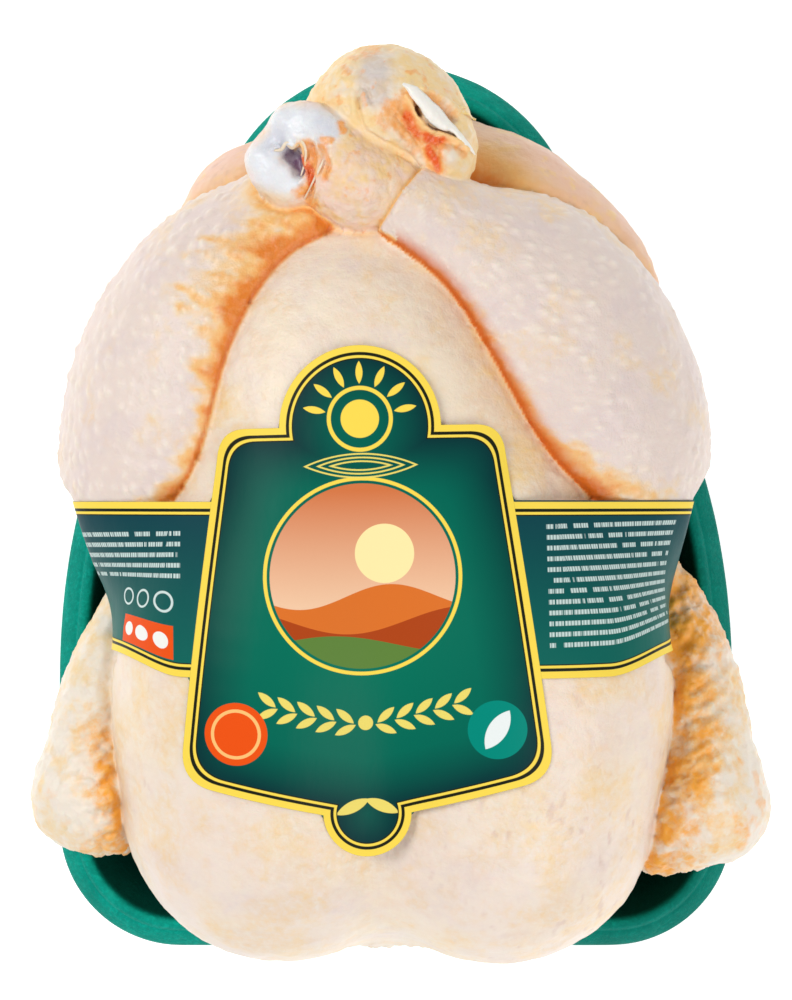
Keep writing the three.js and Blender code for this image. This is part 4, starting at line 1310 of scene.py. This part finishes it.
def band_sheet(surface, step):
    """The band cut open under the bird and laid flat: places (angle times UNROLL, y) and triangles."""
    px, py = label_outline()
    angle = surface.angle_of_plan(px, py)
    flat = np.stack([angle * UNROLL, py], 1)
    upper, lower = flat[py > STRAP_TOP_Y], flat[py < STRAP_FOOT_Y]
    top_s = UNROLL * math.pi / 2
    upper = upper[np.argsort(-np.arctan2(upper[:, 1] - STRAP_TOP_Y, upper[:, 0] - top_s))]
    lower = lower[np.argsort(-np.arctan2(lower[:, 1] - STRAP_FOOT_Y, lower[:, 0] - top_s))]
    start, end = -math.pi / 2 * UNROLL, 1.5 * math.pi * UNROLL
    top = evenly([(start, STRAP_TOP_Y), *upper, (end, STRAP_TOP_Y)], step)
    foot = evenly([(start, STRAP_FOOT_Y), *lower[::-1], (end, STRAP_FOOT_Y)], step)[::-1]
    seam = evenly([(end, STRAP_TOP_Y), (end, STRAP_FOOT_Y)], step)[1:-1]
    rim = np.vstack([top, seam, foot, seam[::-1] - (end - start, 0)])
    inside = [rim]
    for k, y in enumerate(np.arange(-99, 44, step * 0.866)):
        s = np.arange(start + step * 0.6, end - step * 0.5, step) + (k % 2) * step * 0.45
        row = np.stack([s, np.full(len(s), y)], 1)
        inside.append(row[outside_of_band(s / UNROLL, row[:, 1], surface) < -0.55 * step])
    places = np.vstack(inside)
    border = list(range(len(rim)))
    made = delaunay_2d_cdt([Vector(q) for q in places], [], [border], 1, 1e-4)
    places = np.array([tuple(v) for v in made[0]])
    faces = np.array([list(g) for g in made[2]])
    middle = places[faces].mean(1)
    return places, faces[outside_of_band(middle[:, 0] / UNROLL, middle[:, 1], surface) < 0.15]


def print_place_on_film(theta, y, surface):
    """Places of the print in mm: the label's plan over the breast, and on the straps the distance
    gone along the film from there."""
    turns = np.radians(np.arange(-90, 270.1, 0.75))
    mean_y = np.full(len(turns), (STRAP_TOP_Y + STRAP_FOOT_Y) / 2)
    reach = surface.at(turns, mean_y)
    x, z = reach * np.cos(turns), reach * np.sin(turns)
    step = np.hypot(np.diff(x), np.diff(z))
    run = np.concatenate([[0], np.cumsum(step)])
    edge = 56
    right = np.argmax((turns > 0) & (x < LABEL["centre"][0] + edge))
    left = np.argmax((turns > 0) & (x < LABEL["centre"][0] - edge))
    own = surface.at(theta, y) * np.cos(theta)
    beyond_right = edge + (run[right] - np.interp(theta, turns, run)) + LABEL["centre"][0]
    beyond_left = -edge - (np.interp(theta, turns, run) - run[left]) + LABEL["centre"][0]
    over = np.where(theta < turns[right], np.maximum(beyond_right, own), own)
    over = np.where(theta > turns[left], np.minimum(beyond_left, own), over)
    return label_axes(over, y)


def print_finish(s):
    """The print: a bordered green field with a landscape medallion, sprigs and discs, and bordered
    straps with rows of pale dashes. All of it is drawn by distances, in mm."""
    f = Finish("printed_film", Roughness=0.4, Specular_IOR_Level=0.07)
    x, y, strap_in = f.vector_mask("print_place")
    soft = 0.14

    def ink(distance):
        return (distance * (-1 / soft) + 0.5).clamped()

    def disc(cx, cy, radius):
        return length(x - cx, y - cy) - radius

    def leaf(cx, cy, turn, long, wide):
        c, n = math.cos(math.radians(turn)), math.sin(math.radians(turn))
        u, v = (x - cx) * c + (y - cy) * n, (y - cy) * c - (x - cx) * n
        bend = (long * long - wide * wide) / (2 * wide)
        return length(u, abs(v) + bend) - (bend + wide)

    def bordered(colour, inner):
        for start, end, tone in ((0, 1.9, s.border), (1.9, 2.75, s.line), (2.75, 3.5, s.border),
                                 (3.5, 3.8, s.line)):
            colour = f.over(colour, tone, ink(start - inner) * ink(inner - end))
        return colour

    inner = label_distance(x, y) * -1

    label = f.over(s.shade, s.field, inner.ramp(2, 17))
    # Painted reflection: the field is lighter green round its middle.
    glow = (1 - length(x * 0.9, y + 10) * (1 / 50)).clamped()
    label = f.over(label, linear(4, 124, 96), glow * 0.8)

    sky = f.over(linear(246, 206, 170), linear(214, 120, 70), (y * (1 / 34) + 0.2).clamped())
    medal = disc(0, 4, 25)
    landscape = f.over(sky, linear(255, 236, 170), ink(disc(6, 10, 8)))
    far_hill = y + 1.5 - (x * 0.13 + 0.6).wave() * 3.2
    landscape = f.over(landscape, linear(222, 116, 44), ink(far_hill))
    near_hill = y + 8 - (x * 0.1 - 1.2).wave() * 3.6
    landscape = f.over(landscape, linear(176, 70, 24), ink(near_hill))
    furrow = y + 14.5 - (x * 0.09 + 2.4).wave() * 2.5
    landscape = f.over(landscape, linear(96, 132, 60), ink(furrow))
    label = f.over(label, landscape, ink(medal))
    label = f.over(label, s.border, ink(abs(medal - 1.3) - 0.5))

    label = f.over(label, s.border, ink(least(disc(0, 46.5, 5.2), abs(disc(0, 46.5, 8.4)) - 0.55)))
    for k in range(-3, 4):
        turn = 90 + k * 26
        cx, cy = 12.6 * math.cos(math.radians(turn)), 46.5 + 12.6 * math.sin(math.radians(turn))
        label = f.over(label, s.border, ink(leaf(cx, cy, turn, 3.1, 0.95)))
    side = abs(x)
    for k in range(5):
        along = 5.5 + 5.2 * k
        cx, cy = along, -36.5 + 0.10 * along ** 1.25
        u = least(*(length((side - cx) * c + (y - cy - lift) * n,
                           abs((y - cy - lift) * c - (side - cx) * n) + 4.05) - 5.1
                    for lift, c, n in ((1.9, 0.743, 0.669), (-1.9, 0.914, -0.407))))
        label = f.over(label, s.pale, ink(u))
    label = f.over(label, s.pale, ink(disc(0, -35.8, 2.0)))
    label = f.over(label, s.accent, ink(disc(-35, -38, 8.6)))
    label = f.over(label, linear(255, 196, 120), ink(abs(disc(-35, -38, 6.4)) - 0.45))
    label = f.over(label, linear(0, 138, 122), ink(disc(35.5, -38, 8.0)))
    label = f.over(label, linear(236, 242, 240), ink(leaf(35.5, -38, 58, 6.2, 2.6)))
    for k in range(3):
        label = f.over(label, s.pale, ink(abs(leaf(0, 33.8, 0, 15 - 3.5 * k, 3.2 - 1.0 * k)) - 0.22))
    label = f.over(label, s.pale, ink(least(leaf(-4, -59, 24, 5.0, 1.6), leaf(4, -59, -24, 5.0, 1.6))))
    label = bordered(label, inner)

    strap = f.over(linear(18, 66, 76), linear(14, 100, 90), (y * (-1 / 40) + 0.55).clamped())
    from_top = 24 - y
    row_place = (from_top - 6.5).wrapped(2.9, 0)
    row = (from_top - 6.5 - row_place) * (1 / 2.9)
    words = abs((x * 0.83 + row * 2.3).wave() + (x * 1.71 + row * 4.1).wave() * 0.6) - 0.22
    strokes = (x * 7.1 + row).wave() * 0.35 + 0.75
    rows = least(words * 2, 0.62 - abs(row_place - 1.2))
    shown = most(50 - abs(x), abs(abs(x) - 75) - 25)
    left_rows = most(from_top - 20, x)
    right_rows = most(from_top - 41, x * -1)
    limits = most(most(shown, 6 - from_top), least(left_rows, right_rows))
    strap = f.over(strap, linear(206, 224, 220), ink(rows * -1) * ink(limits) * strokes.clamped())
    block = most(abs(x + 62) - 10, abs(y + 13.6) - 4.6)
    strap = f.over(strap, s.accent, ink(block))
    dots = length((x + 62).wrapped(3.1, -3.1), y + 13.6) - 2.3
    strap = f.over(strap, linear(244, 244, 238), ink(most(dots, abs(x + 62) - 9)))
    rings = abs(length((x + 63).wrapped(4, -4), y + 2.6) - 2.7) - 0.35
    strap = f.over(strap, linear(206, 224, 220), ink(most(rings, abs(x + 63) - 12)))
    strap = bordered(strap, strap_in)

    f.paint(f.over(strap, label, ink(inner * -1)))
    f.relief(f.noise(0.005, 3, 0.5, stretch=(1, 0.35, 1)), 0.0005, 0.3)
    return f.material


class DRESS_OT_band(bpy.types.Operator):
    """Makes the printed film, drawn tight over the breast and legs with its shaped label"""

    bl_idname = "dress.band"
    bl_label = "Printed band"

    def execute(self, context):
        s = context.scene.band_settings
        surface = FilmSurface(s.clearance / MM)
        flat, faces = band_sheet(surface, s.mesh_size / MM)
        theta, y = flat[:, 0] / UNROLL, flat[:, 1]
        reach = surface.at(theta, y)
        lx, ly = print_place_on_film(theta, y, surface)
        over = np.abs(reach * np.cos(theta))
        strap_in = np.minimum(STRAP_TOP_Y - y, y - STRAP_FOOT_Y)
        ripple = grain(np.stack([theta * UNROLL, y * 0.3, y * 0], 1), 6, 71)
        reach = reach + 0.3 * np.maximum(ripple, 0) * np.exp(-np.abs(strap_in) / 5) * smoothstep(56, 66, over)
        foot_rise = s.foot_rise / MM * smoothstep(58, 80, over) * smoothstep(-16, -48, y)
        points = np.stack([reach * np.cos(theta), y + foot_rise, BAND_AXIS_HEIGHT + reach * np.sin(theta)], 1)
        mesh = mesh_from("film_band", points * MM, faces)
        store(mesh, "print_place", np.stack([lx, ly, strap_in], 1))
        piece = new_object("film_band", mesh)
        bm = bmesh.new()
        bm.from_mesh(mesh)
        bmesh.ops.remove_doubles(bm, verts=bm.verts, dist=0.02 * MM)
        bmesh.ops.recalc_face_normals(bm, faces=bm.faces)
        bm.to_mesh(mesh)
        bm.free()
        solid = piece.modifiers.new("thickness", "SOLIDIFY")
        solid.thickness, solid.offset = s.thickness, -1
        with_modifiers(piece)
        piece.data.shade_smooth()
        piece.data.set_sharp_from_angle(angle=math.radians(40))
        piece.data.materials.append(print_finish(s))
        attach(piece, "root")
        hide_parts("printed_band")
        return {"FINISHED"}


# Foam tray


class TraySettings(bpy.types.PropertyGroup):
    """Sizes and colours of the foam tray."""

    foam: FloatVectorProperty(
        name="Foam", description="Colour of the foam", size=3, subtype="COLOR",
        min=0, max=1, default=linear(0, 152, 134))
    grain_size: FloatProperty(
        name="Foam cells", description="Size of the flecks on the foam's skin", default=1.3 * MM,
        min=0.1 * MM, subtype="DISTANCE", unit="LENGTH")
    mesh_size: FloatProperty(
        name="Mesh size", description="Distance between the tray's sections", default=2.2 * MM,
        min=0.8 * MM, subtype="DISTANCE", unit="LENGTH")


def arc(cx, cy, radius, start, end, count=24):
    turns = np.radians(np.linspace(start, end, count))
    return [(cx + radius * math.cos(t), cy + radius * math.sin(t)) for t in turns]


def bend(a, b, c, d, count=40):
    t = np.linspace(0, 1, count)[:, None]
    s = 1 - t
    a, b, c, d = (np.array(q, float) for q in (a, b, c, d))
    return [tuple(q) for q in s ** 3 * a + 3 * s ** 2 * t * b + 3 * s * t * t * c + t ** 3 * d]


def tray_outline(step):
    """Places round the tray's rim, evenly spaced, from the middle of its foot."""
    t = TRAY
    flank, corner_y = t["half_width"] - t["corner"], t["foot_y"] + t["corner"]
    centre_y = t["head_y"] - t["head_radius"]
    turn = math.radians(t["head_turn"])
    hx, hy = t["head_radius"] * math.cos(turn), centre_y + t["head_radius"] * math.sin(turn)
    side, pull = t["side_top_y"], t["pull"]
    right = [(0, t["foot_y"]), *arc(flank, corner_y, t["corner"], -90, 0)]
    right += bend((t["half_width"], side - pull / 2), (t["half_width"], side + pull),
                  (hx + pull * math.sin(turn), hy - pull * math.cos(turn)), (hx, hy))
    right += arc(0, centre_y, t["head_radius"], t["head_turn"], 90)[1:]
    left = [(-px, py) for px, py in right[::-1]][1:]
    return evenly(right + left, step)[:-1]


def foam_finish(s):
    f = Finish("foam", Roughness=0.6, Specular_IOR_Level=0.08)
    fleck = f.noise(s.grain_size, 3, 0.75)
    colour = f.over(s.foam, tuple(c * 0.6 for c in s.foam), fleck.ramp(0.5, 0.3) * 0.4)
    colour = f.over(colour, tuple(min(1, c * 1.4 + 0.002) for c in s.foam), fleck.ramp(0.52, 0.7) * 0.8)
    # Broad patches: the lighter ones are painted highlights of shine on the foam; the darker ones make it
    # darker at random.
    sheen_and_mottle = f.noise(0.016, 4, 0.6, warp=0.6)
    colour = f.over(colour, tuple(c * 0.7 for c in s.foam), sheen_and_mottle.ramp(0.5, 0.34) * 0.5)
    colour = f.over(colour, linear(30, 184, 162), sheen_and_mottle.ramp(0.54, 0.7) * 0.45)
    # Painted shade: the foam is darker towards the right side, away from the key light.
    colour = f.over(colour, linear(0, 92, 80), f.mask("side") * 0.5)
    # Painted shade: the foam inside the well, on its inner wall and floor, is much darker.
    f.paint(f.over(colour, linear(0, 48, 38), f.mask("inside") * 0.9))
    f.relief(fleck, 0.0008, 0.6)
    return f.material


class DRESS_OT_tray(bpy.types.Operator):
    """Makes the foam tray: a pressed rim with a ridge, leaning walls and a flat floor"""

    bl_idname = "dress.tray"
    bl_label = "Foam tray"

    def execute(self, context):
        s = context.scene.tray_settings
        t = TRAY
        rim = tray_outline(s.mesh_size / MM)
        after, before = np.roll(rim, -1, 0), np.roll(rim, 1, 0)
        inward = np.stack([(before - after)[:, 1], (after - before)[:, 0]], 1)
        inward /= np.linalg.norm(inward, axis=1)[:, None]
        inward = relaxed(inward, np.stack([np.arange(len(rim)), np.roll(np.arange(len(rim)), -1)], 1), 6)
        foot, high = t["rim"] + t["lean"], t["height"]
        section = np.array([
            (foot + 12, 0), (foot + 1.5, 0), (foot - 4, 2.2), (t["rim"] - 3.6, high - 8.2),
            (1.6, high - 8.8), (0.2, high - 8.4), (0, high - 7.0), (0.8, high - 5.4), (4.6, high - 2.2),
            (5.4, high - 2.3), (6.2, high - 0.6), (7.4, high), (8.8, high - 0.2),
            (t["rim"] + 0.9, high - 1.8), (t["rim"] + 1.8, high - 5), (foot + 1, 10), (foot + 3.5, 6),
            (foot + 8, t["foam"]), (foot + 14, t["foam"]),
        ], float)
        fine = [section[0]]
        for a, b, c in zip(section, section[1:], section[2:]):
            fine += [b * 0.62 + a * 0.38, b, b * 0.62 + c * 0.38]
        fine = np.array(fine + [section[-1]])
        for _ in range(2):
            fine[1:-1] = 0.5 * fine[1:-1] + 0.25 * (fine[:-2] + fine[2:])
        n, m = len(rim), len(fine)
        places = rim[:, None] + inward[:, None] * fine[None, :, :1]
        heights = np.broadcast_to(fine[None, :, 1], (n, m))
        p = np.concatenate([places, heights[..., None]], 2).reshape(-1, 3)
        edge = smoothstep(high - 12, high - 4, p[:, 2])
        dent = np.maximum(rough(p, (16, 16, 40), 83), 0.12) - 0.12
        p[:, 2] -= edge * (1.6 * dent + 0.25 * np.abs(rough(p, (7, 7, 30), 85)))
        middle = np.array([[0, 0, 0], [0, 0, t["foam"]]])
        p = np.vstack([p, middle])
        faces = []
        for i in range(n):
            j = (i + 1) % n
            faces += [(i * m + k, j * m + k, j * m + k + 1, i * m + k + 1) for k in range(m - 1)]
            faces.append((j * m, i * m, n * m))
            faces.append((i * m + m - 1, j * m + m - 1, n * m + 1))
        piece = new_object("foam_dish", mesh_from("foam_dish", p * MM, faces))
        # Painted shade: the well's inner wall and floor get a share that darkens them.
        well = smoothstep(t["rim"] - 0.6, t["rim"] + 1, fine[:, 0]) * (np.arange(m) > np.argmax(fine[:, 1]))
        store(piece.data, "inside", np.concatenate([np.tile(well, n), [0, 1]]))
        # Painted shade: a share that grows to the right, by which the foam is darkened there.
        store(piece.data, "side", smoothstep(0, 95, p[:, 0]))
        bm = bmesh.new()
        bm.from_mesh(piece.data)
        bmesh.ops.recalc_face_normals(bm, faces=bm.faces)
        bm.to_mesh(piece.data)
        bm.free()
        piece.data.shade_smooth()
        piece.data.materials.append(foam_finish(s))
        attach(piece, "root")
        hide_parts("foam_tray")
        return {"FINISHED"}


# Stage: floor, light and camera


class StageSettings(bpy.types.PropertyGroup):
    """Light and floor of the picture."""

    floor: FloatVectorProperty(
        name="Floor", description="Colour of the floor", size=3, subtype="COLOR",
        min=0, max=1, default=(0.92, 0.92, 0.92))
    floor_glow: FloatProperty(
        name="Floor's glow", description="Light given off by the floor, which keeps it white",
        default=0.55, min=0)
    key_power: FloatProperty(
        name="Key light", description="Power of the soft light from the upper left",
        default=8.4, min=0, unit="POWER")
    fill_power: FloatProperty(
        name="Fill light", description="Power of the soft light from the lower right",
        default=10.1, min=0, unit="POWER")
    sky: FloatProperty(
        name="Sky", description="Strength of the even light from all round", default=0.36, min=0)


def softbox(name, place, size, power):
    light = bpy.data.lights.new(name, "AREA")
    light.shape, light.size, light.energy = "SQUARE", size, power
    lamp = bpy.data.objects.new(name, light)
    bpy.context.scene.collection.objects.link(lamp)
    lamp.location = place
    lamp.rotation_euler = (Vector(LIGHTS_AIM) - Vector(place)).to_track_quat("-Z", "Y").to_euler()


class DRESS_OT_stage(bpy.types.Operator):
    """Makes the floor, the soft lights and the camera"""

    bl_idname = "dress.stage"
    bl_label = "Stage"

    def execute(self, context):
        s = context.scene.stage_settings
        side = FLOOR_HALF_SIDE
        corners = [(-side, -side, 0), (side, -side, 0), (side, side, 0), (-side, side, 0)]
        floor = new_object("floor", mesh_from("floor", corners, [(0, 1, 2, 3)]))
        f = Finish("floor", Roughness=0.9, Specular_IOR_Level=0.2)
        f.shader.inputs["Base Color"].default_value = (*s.floor, 1)
        f.shader.inputs["Emission Color"].default_value = (1, 1, 1, 1)
        f.shader.inputs["Emission Strength"].default_value = s.floor_glow
        floor.data.materials.append(f.material)
        softbox("key_light", *KEY_LIGHT, s.key_power)
        softbox("fill_light", *FILL_LIGHT, s.fill_power)
        world = bpy.data.worlds.new("studio")
        world.use_nodes = True
        world.node_tree.nodes["Background"].inputs["Color"].default_value = (1, 1, 1, 1)
        world.node_tree.nodes["Background"].inputs["Strength"].default_value = s.sky
        context.scene.world = world
        context.scene.view_settings.view_transform = "Standard"
        camera = bpy.data.cameras.new("camera")
        camera.sensor_width = SENSOR
        camera.lens = SENSOR / 2 * PIXELS_PER_UNIT_SLOPE / FRAME_HALF_HEIGHT
        seat = bpy.data.objects.new("camera", camera)
        context.scene.collection.objects.link(seat)
        seat.location = (0, 0, CAMERA_HEIGHT)
        context.scene.camera = seat
        return {"FINISHED"}


class DRESS_PT_sidebar(bpy.types.Panel):
    """Lists the steps that dress the bird"""

    bl_idname = "DRESS_PT_sidebar"
    bl_label = "Raw Chicken in a Tray"
    bl_space_type = "VIEW_3D"
    bl_region_type = "UI"
    bl_category = "Chicken"

    def draw(self, context):
        scene = context.scene
        for step, settings in (
            (DRESS_OT_skin, scene.skin_settings),
            (DRESS_OT_hock_parts, scene.hock_part_settings),
            (DRESS_OT_band, scene.band_settings),
            (DRESS_OT_tray, scene.tray_settings),
            (DRESS_OT_stage, scene.stage_settings),
        ):
            box = self.layout.box()
            box.operator(step.bl_idname)
            for name in settings.__annotations__:
                box.prop(settings, name)


CLASSES = (SkinSettings, HockPartSettings, BandSettings, TraySettings, StageSettings,
           DRESS_OT_skin, DRESS_OT_hock_parts, DRESS_OT_band, DRESS_OT_tray, DRESS_OT_stage, DRESS_PT_sidebar)


def register():
    for kind in CLASSES:
        bpy.utils.register_class(kind)
    bpy.types.Scene.skin_settings = PointerProperty(type=SkinSettings)
    bpy.types.Scene.hock_part_settings = PointerProperty(type=HockPartSettings)
    bpy.types.Scene.band_settings = PointerProperty(type=BandSettings)
    bpy.types.Scene.tray_settings = PointerProperty(type=TraySettings)
    bpy.types.Scene.stage_settings = PointerProperty(type=StageSettings)


def unregister():
    for name in ("skin_settings", "hock_part_settings", "band_settings", "tray_settings", "stage_settings"):
        delattr(bpy.types.Scene, name)
    for kind in reversed(CLASSES):
        bpy.utils.unregister_class(kind)


def main():
    register()
    bpy.ops.dress.skin()
    bpy.ops.dress.hock_parts()
    bpy.ops.dress.band()
    bpy.ops.dress.tray()
    bpy.ops.dress.stage()


if __name__ == "__main__":
    main()
